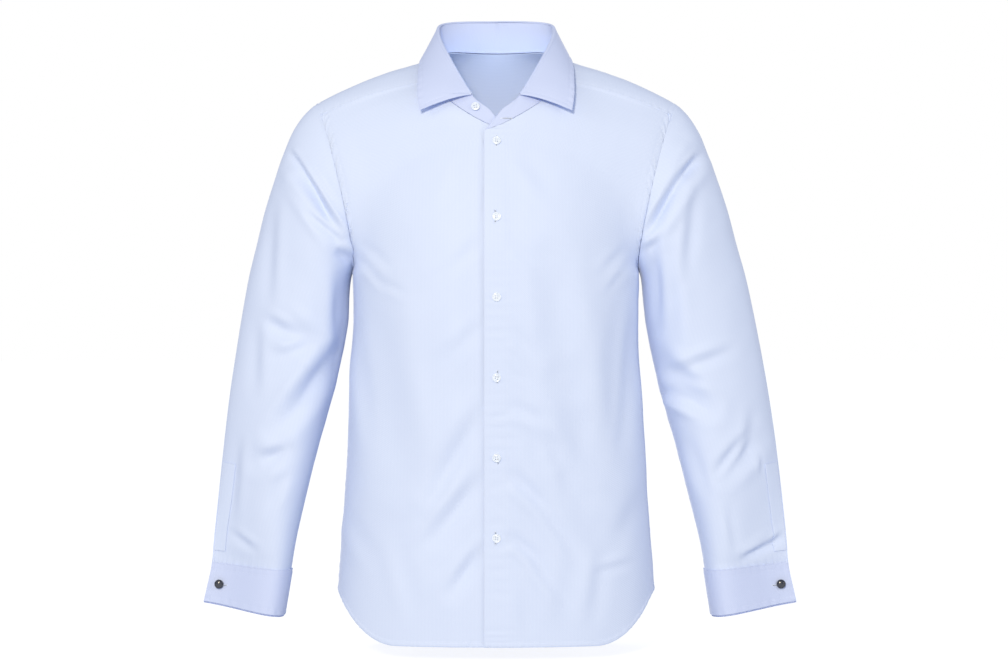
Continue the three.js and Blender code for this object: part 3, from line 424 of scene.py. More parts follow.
def grid_normals(grid, outwards, wrap=False):
    across = np.roll(grid, -1, 1) - np.roll(grid, 1, 1) if wrap else np.gradient(grid, axis=1)
    normals = unit(np.cross(across, np.gradient(grid, axis=0)))
    facing = np.sign((normals * outwards).sum(-1, keepdims=True))
    return normals * np.where(facing < 0, -1, 1)


def lengths(grid, axis):
    """How far each point is along its row or column, in millimetres."""
    steps = np.linalg.norm(np.diff(grid, axis=axis), axis=-1)
    pad = [(0, 0), (0, 0)]
    pad[axis] = (1, 0)
    return np.pad(np.cumsum(steps, axis=axis), pad)


def mirrored(grid):
    return grid * np.array([-1, 1, 1])


def seam_roll(distance):
    """The edge turns in at a seam."""
    return -0.35 * np.exp(-((distance / 1.3) ** 2))


def topstitch(distance, line, seed, along, pucker=0.16):
    """A stitched line: a small groove, with the cloth puckered on both sides of it."""
    groove = -0.35 * np.exp(-(((distance - line) / 1.0) ** 2))
    random = np.random.default_rng(seed)
    waves = sum(
        np.sin(2 * math.pi * along / random.uniform(6, 15) + random.uniform(0, 6.3)) for _ in range(4)
    )
    near = np.exp(-(((distance - line / 2) / (0.75 * line)) ** 2))
    return groove + pucker * waves * near


class Panel:
    """A grid of points on the cloth's outer side, with the way each one faces."""

    def __init__(self, grid, outwards, wrap=False):
        self.wrap = wrap
        self.points = grid
        self.normals = grid_normals(grid, outwards, wrap)
        self.across = lengths(grid, 1)
        self.along = lengths(grid, 0)

    def move(self, distance):
        self.points = self.points + self.normals * np.asarray(distance)[..., None]

    def mirror(self):
        self.points = mirrored(self.points)
        self.normals = mirrored(self.normals)
        return self

    def from_right(self):
        return self.across[:, -1:] - self.across

    def from_top(self):
        return self.along[-1:] - self.along

    def at(self, rows, columns):
        """Points and normals at fractional rows and columns."""
        r = np.clip(np.floor(rows).astype(int), 0, self.points.shape[0] - 2)
        c = np.clip(np.floor(columns).astype(int), 0, self.points.shape[1] - 2)
        u, v = (rows - r)[..., None], (columns - c)[..., None]

        def blend(field):
            low = lerp(field[r, c], field[r, c + 1], v)
            return lerp(low, lerp(field[r + 1, c], field[r + 1, c + 1], v), u)

        return blend(self.points), unit(blend(self.normals))

    def inset(self, edge, distance, start=0.0, end=1.0):
        """Points and normals along a line parallel to an edge."""
        by_row = edge in ("left", "right")
        field = {
            "left": self.across, "right": self.from_right(), "bottom": self.along, "top": self.from_top(),
        }[edge]
        field = field if by_row else field.T
        index = np.arange(field.shape[1], dtype=float)
        ordered = field[:, ::-1] if edge in ("right", "top") else field
        found = np.array([np.interp(distance, line, index) for line in ordered])
        if edge in ("right", "top"):
            found = index[-1] - found
        lines = np.arange(len(found), dtype=float)
        kept = slice(int(start * len(found)), max(int(end * len(found)), 2))
        rows, columns = (lines, found) if by_row else (found, lines)
        return self.at(rows[kept], columns[kept])


class Build:
    """The mesh data of one piece, put together from grids and threads."""

    def __init__(self):
        self.points, self.faces, self.uvs, self.count = [], [], [], 0

    def add(self, points, faces, uvs=None):
        points = np.asarray(points).reshape(-1, 3)
        faces = np.asarray(faces)
        self.points.append(points)
        self.faces.extend((faces + self.count).tolist())
        self.uvs.append(np.zeros((faces.size, 2)) if uvs is None else uvs.reshape(-1, 2))
        self.count += len(points)

    def mirror(self):
        self.points = [mirrored(points) for points in self.points]
        self.faces = [face[::-1] for face in self.faces]
        self.uvs = [uv.reshape(-1, 4, 2)[:, ::-1].reshape(-1, 2) for uv in self.uvs]


def grid_faces(rows, columns, wrap):
    """Quads of a grid, and where each corner lies on the grid's pattern."""
    last = columns if wrap else columns - 1
    r, c = np.meshgrid(np.arange(rows - 1), np.arange(last), indexing="ij")
    r, c = r.ravel(), c.ravel()
    pattern = np.stack(
        [np.stack([r, c], 1), np.stack([r, c + 1], 1), np.stack([r + 1, c + 1], 1), np.stack([r + 1, c], 1)], 1
    )
    return pattern[..., 0] * columns + pattern[..., 1] % columns, pattern


def add_shell(build, outer, inner, across, along, wrap=False):
    """A closed shell between two grids. across and along give the weave's own coordinates."""
    rows, columns = outer.shape[:2]
    faces, pattern = grid_faces(rows, columns, wrap)
    if wrap:
        closing = np.linalg.norm(outer[:, -1] - outer[:, 0], axis=-1)[:, None]
        across = np.concatenate([across, across[:, -1:] + closing], 1)
        along = np.concatenate([along, along[:, :1]], 1)
    weave = np.stack([across, along], -1) * METRES
    uvs = weave[pattern[..., 0], pattern[..., 1]]
    corners = outer.reshape(-1, 3)[faces[len(faces) // 2]]
    facing = np.cross(corners[1] - corners[0], corners[2] - corners[0])
    outwards = (outer - inner).reshape(-1, 3)[faces[len(faces) // 2][0]]
    flip = facing @ outwards < 0
    count = rows * columns
    inner_faces, inner_uvs = faces[:, ::-1] + count, uvs[:, ::-1]
    rims = []
    if not wrap:
        r = np.arange(rows - 1)
        for c, way in ((0, 1), (columns - 1, -1)):
            low, high = r * columns + c, (r + 1) * columns + c
            rims.append(np.stack([low, high, high + count, low + count], 1)[:, ::way])
    c = np.arange(columns if wrap else columns - 1)
    for r, way in ((0, -1), (rows - 1, 1)):
        near, far = r * columns + c, r * columns + (c + 1) % columns
        rims.append(np.stack([near, far, far + count, near + count], 1)[:, ::way])
    rims = np.concatenate(rims)
    rim_uvs = weave.reshape(-1, 2)[(rims % count) % len(weave.reshape(-1, 2))]
    every = np.concatenate([faces, inner_faces, rims])
    every_uvs = np.concatenate([uvs, inner_uvs, rim_uvs])
    if flip:
        every, every_uvs = every[:, ::-1], every_uvs[:, ::-1]
    build.add(np.concatenate([outer.reshape(-1, 3), inner.reshape(-1, 3)]), every, every_uvs)


def finish_piece(name, build, material, node=None, sharp=50):
    mesh = bpy.data.meshes.new(name)
    mesh.from_pydata((np.concatenate(build.points) * METRES).tolist(), [], build.faces)
    layer = mesh.uv_layers.new(name="weave")
    layer.data.foreach_set("uv", np.concatenate(build.uvs).ravel())
    mesh.materials.append(material)
    mesh.shade_smooth()
    mesh.set_sharp_from_angle(angle=math.radians(sharp))
    mesh.update()
    piece = bpy.data.objects.new(name, mesh)
    bpy.context.scene.collection.objects.link(piece)
    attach(piece, "root")
    if node:
        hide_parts(node)
    return piece


def add_stitches(build, points, normals, pitch=2.6, length=1.9, radius=0.17, lift=0.05):
    """Thread stitches along a line, each one a small lozenge that dips into the cloth at its ends."""
    far = lengths(points[None], 1)[0]
    count = int(far[-1] / pitch)
    if count < 1:
        return
    centres = (np.arange(count) + 0.5) * far[-1] / count

    def read_line(field, at):
        return np.stack([np.interp(at, far, field[:, k]) for k in range(3)], 1)

    middle, start, end = (read_line(points, centres + d * length / 2) for d in (0, -1, 1))
    out = unit(read_line(normals, centres))
    forward = unit(end - start)
    side = unit(np.cross(out, forward))
    top = middle + out * (lift + radius)
    start = start - out * 0.12
    end = end - out * 0.12
    points = np.stack([start, top, middle + side * radius, middle - out * 0.1, middle - side * radius, end], 1)
    one = np.array([[0, 1, 2], [0, 2, 3], [0, 3, 4], [0, 4, 1], [5, 2, 1], [5, 3, 2], [5, 4, 3], [5, 1, 4]])
    faces = (one[None] + 6 * np.arange(count)[:, None, None]).reshape(-1, 3)
    build.add(points.reshape(-1, 3), faces)


# Materials


def new_material(name, color, roughness, **settings):
    material = bpy.data.materials.new(name)
    material.use_nodes = True
    shader = material.node_tree.nodes["Principled BSDF"]
    shader.inputs["Base Color"].default_value = (*color, 1)
    shader.inputs["Roughness"].default_value = roughness
    for socket, value in settings.items():
        shader.inputs[socket.replace("_", " ").title().replace("Ior", "IOR")].default_value = value
    return material, shader


def node_maker(material):
    tree = material.node_tree

    def make(kind, inputs=(), **settings):
        node = tree.nodes.new(kind)
        for key, value in settings.items():
            setattr(node, key, value)
        for socket, value in dict(inputs).items():
            if isinstance(value, bpy.types.NodeSocket):
                tree.links.new(value, node.inputs[socket])
            else:
                node.inputs[socket].default_value = value
        return node

    return make, tree.links


CLOTH_LIGHT = (0.660, 0.747, 0.965)
CLOTH_DEEP = (0.585, 0.680, 0.925)
TWILL_LINES_PER_METRE = 1500
STRIPE_LINES_PER_METRE = 420


def shirting(name, stripe_strength=1.0, painted_shade_tint=(1, 1, 1)):
    """Fine twill: slanted ribs in the bump, faint lengthwise lines and slight unevenness in the colour;
    painted_shade_tint darkens both colours as painted shade.
    """
    material, shader = new_material(
        name, CLOTH_LIGHT, 0.62, sheen_weight=0.35, sheen_roughness=0.4, specular_ior_level=0.3
    )
    shader.inputs["Sheen Tint"].default_value = (0.92, 0.95, 1, 1)
    make, links = node_maker(material)
    weave = make("ShaderNodeUVMap", uv_map="weave")
    object_place = make("ShaderNodeTexCoord")
    ribs = make(
        "ShaderNodeTexWave",
        {"Vector": weave.outputs[0], "Scale": TWILL_LINES_PER_METRE / 6.283, "Distortion": 0.6,
         "Detail": 1.0, "Detail Scale": 3.0},
        wave_type="BANDS", bands_direction="DIAGONAL", wave_profile="SIN",
    )
    lines = make(
        "ShaderNodeTexWave",
        {"Vector": weave.outputs[0], "Scale": STRIPE_LINES_PER_METRE / 6.283, "Distortion": 1.2,
         "Detail": 2.0, "Detail Scale": 1.5},
        wave_type="BANDS", bands_direction="X", wave_profile="SIN",
    )
    slubs = make("ShaderNodeTexNoise", {"Vector": weave.outputs[0], "Scale": 900.0, "Detail": 3.0})
    clouds = make("ShaderNodeTexNoise", {"Vector": object_place.outputs["Object"], "Scale": 9.0, "Detail": 3.0})
    line_share = make("ShaderNodeMath", {0: lines.outputs["Fac"], 1: 0.12 * stripe_strength}, operation="MULTIPLY")
    slub_share = make(
        "ShaderNodeMath", {0: slubs.outputs["Fac"], 1: 0.25, 2: line_share.outputs[0]}, operation="MULTIPLY_ADD"
    )
    share = make(
        "ShaderNodeMath", {0: clouds.outputs["Fac"], 1: 0.30, 2: slub_share.outputs[0]}, operation="MULTIPLY_ADD"
    )
    color = make("ShaderNodeMix", {"Factor": share.outputs[0]}, data_type="RGBA")
    color.inputs[6].default_value = (*np.multiply(CLOTH_LIGHT, painted_shade_tint), 1)
    color.inputs[7].default_value = (*np.multiply(CLOTH_DEEP, painted_shade_tint), 1)
    links.new(color.outputs[2], shader.inputs["Base Color"])
    rough = make(
        "ShaderNodeMapRange", {"Value": slubs.outputs["Fac"], "To Min": 0.54, "To Max": 0.72}
    )
    links.new(rough.outputs[0], shader.inputs["Roughness"])
    height = make(
        "ShaderNodeMath", {0: slubs.outputs["Fac"], 1: 0.5, 2: ribs.outputs["Fac"]}, operation="MULTIPLY_ADD"
    )
    bump = make("ShaderNodeBump", {"Height": height.outputs[0], "Strength": 0.22, "Distance": 0.00025})
    links.new(bump.outputs[0], shader.inputs["Normal"])
    return material


def thread_material():
    material, shader = new_material("sewing_thread", (0.74, 0.81, 0.95), 0.5, sheen_weight=0.3)
    make, links = node_maker(material)
    place = make("ShaderNodeTexCoord")
    twist = make("ShaderNodeTexNoise", {"Vector": place.outputs["Object"], "Scale": 2500.0, "Detail": 1.0})
    bump = make("ShaderNodeBump", {"Height": twist.outputs["Fac"], "Strength": 0.3, "Distance": 0.0002})
    links.new(bump.outputs[0], shader.inputs["Normal"])
    return material


def pearl_material():
    material, shader = new_material(
        "button_pearl", (0.93, 0.93, 0.91), 0.22, coat_weight=0.5, coat_roughness=0.12, specular_ior_level=0.6
    )
    make, links = node_maker(material)
    place = make("ShaderNodeTexCoord")
    cloud = make(
        "ShaderNodeTexNoise", {"Vector": place.outputs["Object"], "Scale": 260.0, "Detail": 3.0, "Distortion": 1.5}
    )
    ramp = make("ShaderNodeValToRGB", {"Fac": cloud.outputs["Fac"]})
    ramp.color_ramp.elements[0].position = 0.3
    ramp.color_ramp.elements[0].color = (0.70, 0.79, 0.95, 1)
    ramp.color_ramp.elements[1].position = 0.7
    ramp.color_ramp.elements[1].color = (0.84, 0.90, 0.99, 1)
    links.new(ramp.outputs[0], shader.inputs["Base Color"])
    return material


def enamel_material():
    material, shader = new_material(
        "link_enamel", (0.012, 0.016, 0.032), 0.28, coat_weight=0.6, coat_roughness=0.1
    )
    make, links = node_maker(material)
    place = make("ShaderNodeTexCoord")
    wear = make("ShaderNodeTexNoise", {"Vector": place.outputs["Object"], "Scale": 800.0, "Detail": 4.0})
    rough = make("ShaderNodeMapRange", {"Value": wear.outputs["Fac"], "To Min": 0.2, "To Max": 0.4})
    links.new(rough.outputs[0], shader.inputs["Roughness"])
    return material


# A dark sheet in each buttonhole's slit: painted shade for the opening.
def slit_shade_material():
    material, _ = new_material("buttonhole_painted_shade", (0.10, 0.13, 0.22), 0.8)
    return material


CLOTH = shirting("shirting_body")
# Collar, stand and cuffs: the same cloth tinted darker, a painted shade standing in for the shading of the collar
# leaves.
COLLAR_CLOTH_PAINTED_SHADE = shirting("shirting_collar_painted_shade", 0.5, (0.90, 0.90, 0.97))
THREAD = thread_material()
PEARL = pearl_material()
ENAMEL = enamel_material()
SLIT_SHADE = slit_shade_material()


# Body panels


def front_grid(ups, rows, across):
    half_width = torso_at(lerp(HEM_FRONT_Z, UNDERARM_Z, ups))["half_width"]
    edge = -np.arcsin((LAP_HALF / half_width) ** (TORSO_ROUND / 2)) / (math.pi / 2)
    lower = lower_point(lerp(edge[:, None], 1, across[None]), ups[:, None], -1)
    up_neck = np.maximum(rows - NECK_CORNER_ROW, 0) / (UPPER_ROWS - NECK_CORNER_ROW)
    turn = up_neck * math.pi / 2
    start_x = lerp(-LAP_HALF, NECK_SIDE_X, np.sin(turn) ** NECK_CURVE)
    neck_z = lerp(NECK_SIDE_Z, NECK_FRONT_Z, np.maximum(np.cos(turn), 0) ** NECK_CURVE)
    start_z = np.where(rows < NECK_CORNER_ROW, lerp(UNDERARM_Z, NECK_FRONT_Z, rows / NECK_CORNER_ROW), neck_z)
    depth = read_at_height(FRONT_DEPTHS, start_z)["depth"]
    hollow = FRONT_HOLLOW * np.sin(math.pi * up_neck)
    angle = np.radians(YOKE_FRONT_ANGLE * rows / UPPER_ROWS)
    crown = FRONT_CROWN * (rows / UPPER_ROWS) ** 2
    bend = lerp(LEVEL_ROW_BEND, 1, smooth(rows, NECK_CORNER_ROW - 1, UPPER_ROWS))
    start_x, start_z, depth, angle, crown, hollow, bend = (
        values[:, None] for values in (start_x, start_z, depth, angle, crown, hollow, bend)
    )
    upper = upper_rows(start_x, start_z, depth, -1, angle, crown, hollow, bend, across[None])
    return np.concatenate([lower, upper])


EASE_PASSES, EASE_EDGE, EASE_FROM_Z, EASE_TO_Z = 120, 45, -360, -290


def eased(grid):
    """Spread the bends between the rows of a front evenly, away from its edges."""
    far, up = lengths(grid, 1), lengths(grid, 0)
    free = smooth(far, 2, EASE_EDGE) * smooth(far[:, -1:] - far, 0, EASE_EDGE) * smooth(up[-1:] - up, 0, EASE_EDGE)
    free = free * smooth(grid[..., 2], EASE_FROM_Z, EASE_TO_Z)
    grid = grid.copy()
    for _ in range(EASE_PASSES):
        grid[1:-1, :, 1:] += 0.25 * free[1:-1, :, None] * np.diff(grid[..., 1:], 2, axis=0)
    return grid


def back_grid(ups, rows, across):
    lower = lower_point(across[None], ups[:, None], 1)
    angle = np.radians(lerp(360, YOKE_BACK_ANGLE, rows / UPPER_ROWS))[:, None]
    centre_z = lerp(UNDERARM_Z, BACK_YOKE_Z, rows / UPPER_ROWS)[:, None]
    depth = read(BACK_ROWS, rows)["depth"][:, None]
    half = upper_rows(np.zeros_like(angle), centre_z, depth, 1, angle, 0, 0, 2, np.abs(across)[None])
    half[..., 0] *= np.sign(across)[None]
    return np.concatenate([lower, half])


def cloth_unevenness(points, seed):
    return 0.8 * ripple(points, 110, seed) + 0.22 * ripple(points, 38, seed + 1)


def hem_relief(panel, seed):
    turned = 0.45 * (1 - smooth(panel.along, 6.4, 7.4))
    roping = 0.18 * np.sin(panel.across / 1.9 + 2.0 * ripple(panel.points, 30, seed)) * (1 - smooth(panel.along, 4, 8))
    edge = -0.5 * np.exp(-((panel.along / 0.9) ** 2))
    return turned + roping + edge + topstitch(panel.along, 6.0, seed, panel.across)


LOWER_UPS = spaced(140, (0.0, 0.015), 0.02, 8)
UPPER_STEPS = spaced(92, (1.0,), 0.03, 6)[1:] * UPPER_ROWS
FRONT_ACROSS = spaced(100, (0.0, 0.12, 1.0), 0.03, 4)
BACK_ACROSS = spaced(150, (0.0, 1.0), 0.02, 5) * 2 - 1


def make_front(side):
    grid = eased(front_grid(LOWER_UPS, UPPER_STEPS, FRONT_ACROSS))
    outwards = grid * np.array([1, 1, 0])
    outwards[..., 2] = 0.2 * np.abs(grid[..., 1])
    panel = Panel(grid, outwards)
    x = grid[..., 0]
    panel.move(side * LAP_LIFT * (1 - smooth(x, LAP_FADE_FROM, LAP_FADE_TO)))
    neck_row = len(LOWER_UPS) + int(np.searchsorted(UPPER_STEPS, NECK_CORNER_ROW))
    neck = panel.points[neck_row:-1, 0].copy()
    seam = panel.from_right()
    top = panel.from_top()
    seen = grid * np.array([side, 1, 1])
    held = smooth(x, LAP_HALF, LAP_FADE_TO) * smooth(seam, 0, 16) * smooth(top, 0, 16)
    relief = -held * fold_depth(seen, FRONT_FOLDS)
    near = smooth(seam, 0, 4) * smooth(top, 0, 6) * smooth(x, LAP_HALF, LAP_HALF + 4)
    relief -= near * crease_depth(seen, FRONT_CREASES)
    relief -= smooth(side * x, -LAP_HALF, -LAP_HALF + 3) * crease_depth(seen, EDGE_PUCKERS)
    relief += smooth(x, 8, 40) * smooth(seam, 0, 20) * smooth(top, 0, 20) * cloth_unevenness(seen, 11 + side)
    relief += hem_relief(panel, 21 + side)
    relief += seam_roll(seam) + seam_roll(top)
    armhole = smooth(panel.along, panel.along[len(LOWER_UPS) - 1] - 2, panel.along[len(LOWER_UPS) - 1] + 2)
    relief += armhole * topstitch(seam, 8.0, 31 + side, panel.along, 0.34)
    relief += (1 - armhole) * topstitch(seam, 5.0, 41 + side, panel.along)
    from_edge = x + LAP_HALF
    on_front = smooth(panel.along[:, :1], 0, 6)
    if side > 0:
        relief += 0.45 * (1 - smooth(from_edge, 28.4, 29.6)) * on_front
        relief += on_front * topstitch(from_edge, 28.2, 51, panel.along)
    else:
        relief -= 1.1 * on_front * np.exp(-(((from_edge - 2 * LAP_HALF - 0.8) / 1.1) ** 2))
    relief -= 0.5 * np.exp(-((from_edge / 0.9) ** 2))
    panel.move(relief)
    build = Build()
    add_shell(build, panel.points, panel.points - panel.normals * SHELL, panel.across, panel.along)
    panel.rows_below = len(LOWER_UPS)
    return panel, build, neck


def make_back():
    grid = back_grid(LOWER_UPS, UPPER_STEPS, BACK_ACROSS)
    panel = Panel(grid, grid * np.array([1, 1, 0]))
    sides = np.minimum(panel.across, panel.from_right())
    top = panel.from_top()
    relief = -smooth(sides, 0, 16) * smooth(top, 0, 16) * fold_depth(grid, BACK_FOLDS)
    relief -= smooth(sides, 0, 4) * smooth(top, 0, 6) * crease_depth(grid, BACK_CREASES)
    relief += smooth(sides, 0, 20) * smooth(top, 0, 20) * cloth_unevenness(grid, 61)
    relief += hem_relief(panel, 63)
    relief += seam_roll(sides) + seam_roll(top)
    at_underarm = panel.along[len(LOWER_UPS) - 1]
    armhole = smooth(panel.along, at_underarm - 2, at_underarm + 2)
    relief += armhole * topstitch(sides, 8.0, 64, panel.along, 0.34)
    panel.move(relief)
    build = Build()
    add_shell(build, panel.points, panel.points - panel.normals * SHELL, panel.across, panel.along)
    panel.rows_below = len(LOWER_UPS)
    return panel, build


def shoulder_angle(j):
    """The armhole's angle where the yoke's outer edge is at step j."""
    ends = (0, YOKE_RIDGE_STEPS, YOKE_SHOULDER_STEPS)
    return np.radians(np.interp(j, ends, (YOKE_FRONT_ANGLE, 180, YOKE_BACK_ANGLE)))


RIDGE_SHARE = 0.4


def yoke_neck(j, start):
    share = np.interp(j, (0, YOKE_SHOULDER_STEPS, YOKE_STEPS), (0, RIDGE_SHARE, 1))
    turn = share * math.pi / 2
    rise = 1 - (1 - np.sin(turn)) ** NECK_RISE
    x = start[0] * np.cos(turn)
    return np.stack([x, lerp(start[1], NECK_BACK_Y, np.sin(turn)), lerp(start[2], NECK_BACK_Z, rise)], -1)


def make_yoke(fine):
    rows = np.array([float(UPPER_ROWS)])
    front_row = front_grid(np.array([0.0, 1.0]), rows, fine)[-1]
    start, end = front_row[0], front_row[-1]
    j = np.concatenate([spaced(60, (0.0,), 0.02, 4) * YOKE_STEPS])
    behind = np.clip(1 - (j - YOKE_SHOULDER_STEPS) / (YOKE_STEPS - YOKE_SHOULDER_STEPS), 0, 1)
    back_row = back_grid(np.array([0.0, 1.0]), rows, behind)[-1]
    shoulder = ring_point(0, shoulder_angle(j))
    outer_edge = np.where((j <= YOKE_SHOULDER_STEPS)[:, None], shoulder, back_row)
    neck_edge = yoke_neck(j, start)
    v = ((front_row[:, 0] - start[0]) / (end[0] - start[0]))[:, None, None]
    half = lerp(neck_edge[None], outer_edge[None], v)
    fade = ((1 - j / YOKE_STEPS) ** 4)[None, :, None]
    half = half + (front_row[:, None] - lerp(start, end, v)) * fade
    swell = np.sin(math.pi * v) * (1 - fade)
    crown = lerp(SHOULDER_CROWN, BACK_CROWN, smooth(j, YOKE_SHOULDER_STEPS, YOKE_STEPS))[None, :, None]

    def off_shoulders(points):
        return points * np.array([0.3, 1, 1]) + np.array([0, 0, 170])

    half = half + unit(off_shoulders(half)) * swell * crown
    grid = np.concatenate([half, mirrored(half[:, -2::-1])], 1)
    panel = Panel(grid, off_shoulders(grid))
    neck = grid[0].copy()
    front_edges = np.minimum(panel.across, panel.from_right())
    outer = panel.from_top()
    relief = seam_roll(outer) + seam_roll(front_edges)
    relief += topstitch(outer, 6.0, 71, panel.across) + topstitch(front_edges, 4.0, 72, panel.along)
    calm = smooth(outer, 0, 20) * smooth(front_edges, 0, 20) * smooth(panel.along, 0, 20)
    relief += 0.7 * calm * cloth_unevenness(grid, 73)
    panel.move(relief)
    build = Build()
    add_shell(build, panel.points, panel.points - panel.normals * SHELL, panel.along, panel.across)
    return panel, build, neck


# Sleeves and cuffs

SLEEVE_UPS = spaced(224, (0.0, 1.0), 0.01, 6)
SLEEVE_COLUMNS = 154


def sleeve_surface(places, angles, side, wrap):
    grid = ring_point(places[:, None], angles[None], side)
    ring = ring_at(places, side)
    centre = np.stack(
        [(ring["out_x"] + ring["in_x"]) / 2, ring["shift_y"], (ring["out_z"] + ring["in_z"]) / 2], -1
    )
    panel = Panel(grid, grid - centre[:, None], wrap)
    steps_down = places[:, None] * SLEEVE_STEPS / CUFF_TOP_RING
    held = smooth(steps_down, 0, 2) * smooth(SLEEVE_STEPS - steps_down, 0, 2)
    held = held * np.abs(np.sin(angles[None])) ** 0.5
    near = smooth(steps_down, 0, 0.4) * smooth(SLEEVE_STEPS - steps_down, 0, 0.5)
    near = near * smooth(np.abs(np.sin(angles[None])), 0, 0.3)
    in_front = (angles[None] < math.pi) * np.ones_like(steps_down)
    folds, creases = {
        1: (LEFT_SLEEVE_FOLDS, LEFT_SLEEVE_CREASES), -1: (RIGHT_SLEEVE_FOLDS, RIGHT_SLEEVE_CREASES),
    }[side]
    relief = -held * np.where(in_front, fold_depth(grid, folds), fold_depth(grid, BACK_SLEEVE_FOLDS))
    relief -= near * np.where(in_front, crease_depth(grid, creases), crease_depth(grid, BACK_SLEEVE_CREASES))
    relief += near * cloth_unevenness(grid * np.array([side, 1, 1]), 81 + side)
    return panel, relief


def make_sleeve(side):
    angles = np.arange(SLEEVE_COLUMNS) / SLEEVE_COLUMNS * 2 * math.pi
    places = SLEEVE_UPS * CUFF_TOP_RING
    panel, relief = sleeve_surface(places, angles, side, True)
    relief += seam_roll(panel.along) + 0.5 * seam_roll(panel.from_top())
    gathers = np.sin(angles * 33 + 1.5 * np.sin(angles * 5))[None] * np.exp(-((panel.from_top() / 14) ** 2))
    relief += 0.35 * gathers * smooth(np.abs(np.sin(angles / 2))[None], 0.2, 0.8)
    panel.move(relief)
    if side < 0:
        panel.mirror()
    build = Build()
    inner = panel.points - panel.normals * SHELL
    add_shell(build, panel.points, inner, panel.across, panel.along, wrap=True)
    return panel, build


PLACKET_FROM, PLACKET_TO = 17, 21
PLACKET_ANGLES = (YOKE_FRONT_ANGLE * 8 / 9, lerp(YOKE_FRONT_ANGLE, 180, 0.5))
PLACKET_LIFT, PLACKET_SHELL = 1.5, 0.9


def make_sleeve_placket(side):
    places = lerp(PLACKET_FROM, PLACKET_TO, spaced(60, (0.0, 1.0), 0.03, 3)) * CUFF_TOP_RING / SLEEVE_STEPS
    angles = np.radians(lerp(*PLACKET_ANGLES, spaced(14, (0.0, 1.0), 0.06, 3)))
    panel, relief = sleeve_surface(places, angles, side, False)
    sides = np.minimum(panel.across, panel.from_right())
    relief = relief + PLACKET_LIFT - 0.4 * np.exp(-((sides / 0.7) ** 2))
    relief -= 0.25 * np.exp(-(((sides - 1.8) / 0.7) ** 2))
    for line in (1.2, 13.0, 15.5):
        relief -= 0.2 * np.exp(-(((panel.along - line) / 0.7) ** 2))
    panel.move(relief)
    if side < 0:
        panel.mirror()
    build = Build()
    inner = panel.points - panel.normals * PLACKET_SHELL
    add_shell(build, panel.points, inner, panel.across, panel.along)
    return panel, build


CUFF_WALL, CUFF_LAYER_GAP, CUFF_EDGE_ANGLE, CUFF_EDGE_ROOM = 1.3, 0.5, 171, 3.2
CUFF_BAND_END, CUFF_STEPS = 0.97, 22


def cuff_panel(out, drops, downs, angles, side):
    """Points of the double cuff at a distance out from the band's own middle surface."""
    band = ring_point(CUFF_TOP_RING + downs[:, None], angles[None], side)
    around = np.radians(np.linspace(-CUFF_EDGE_ANGLE, CUFF_EDGE_ANGLE, 25))
    centre = ring_point(CUFF_TOP_RING + downs[:, None], around[None], side).mean(1)
    near_edge = (np.abs(angles) > math.radians(120))[None, :, None]
    sideways = np.stack([0 * angles, -np.sign(angles), 0 * angles], -1)[None]
    normals = grid_normals(band, np.where(near_edge, sideways, band - centre[:, None]))
    apart = np.sign(angles) * CUFF_EDGE_ROOM * smooth(np.abs(angles), math.radians(110), math.radians(165))
    points = band + normals * out[:, :, None]
    points[..., 1] -= apart[None] / 2
    points[..., 2] -= drops[:, None]
    return points


def make_cuff(side):
    edge = math.radians(CUFF_EDGE_ANGLE)
    angles = edge * (1 - 2 * spaced(128, (0.0, 1.0), 0.03, 4))
    down = spaced(CUFF_STEPS, (0.0, 1.0), 0.06, 3) * CUFF_BAND_END
    over = CUFF_LAYER_GAP + CUFF_WALL
    fold = np.linspace(0, math.pi, 9)[1:-1]
    middle = (over - CUFF_WALL) / 2
    rise = np.flip(down)
    downs = np.concatenate([down, np.full(len(fold), CUFF_BAND_END), rise])
    outs = np.concatenate([np.full(len(down), over), middle + (over - middle) * np.cos(fold),
                           np.full(len(rise), -CUFF_WALL)])
    drops = np.concatenate([-2.5 * (1 - smooth(down, 0, 0.12)), 2.4 * np.sin(fold), 0.5 * (1 - smooth(rise, 0, 0.1))])
    inner_outs = np.concatenate([np.full(len(down), CUFF_LAYER_GAP), middle + 0.2 * np.cos(fold),
                                 np.zeros(len(rise))])
    inner_drops = np.concatenate([drops[:len(down)], 0.9 * np.sin(fold), drops[-len(rise):]])
    flat = cuff_panel(np.full((len(downs), len(angles)), 1.0) * outs[:, None], drops, downs, angles, side)
    around, along = lengths(flat, 1), lengths(flat, 0)
    sides = np.minimum(around, around[:, -1:] - around)
    fold_at = along[len(down) - 1]
    cover = np.arange(len(downs))[:, None] < len(down)
    relief = cover * (topstitch(sides, 6.0, 91 + side, along) + topstitch(np.abs(along - fold_at), 6.0, 93, around)
                      + topstitch(along, 2.2, 95, around) + topstitch(along, 8.2, 97, around))
    relief -= 0.4 * np.exp(-((sides / 0.9) ** 2)) * cover
    relief += 0.25 * cover * ripple(flat * np.array([side, 1, 1]), 40, 99) * smooth(sides, 0, 10)
    outer = cuff_panel(outs[:, None] + relief, drops, downs, angles, side)
    inner = cuff_panel(inner_outs[:, None] + np.zeros_like(relief), inner_drops, downs, angles, side)
    if side < 0:
        outer, inner = mirrored(outer), mirrored(inner)
    panel = Panel.__new__(Panel)
    panel.points, panel.normals = outer[:len(down)], unit(outer - inner)[:len(down)]
    panel.across, panel.along, panel.wrap = lengths(panel.points, 1), lengths(panel.points, 0), False
    build = Build()
    add_shell(build, outer, inner, around, along)
    return panel, build


# Collar


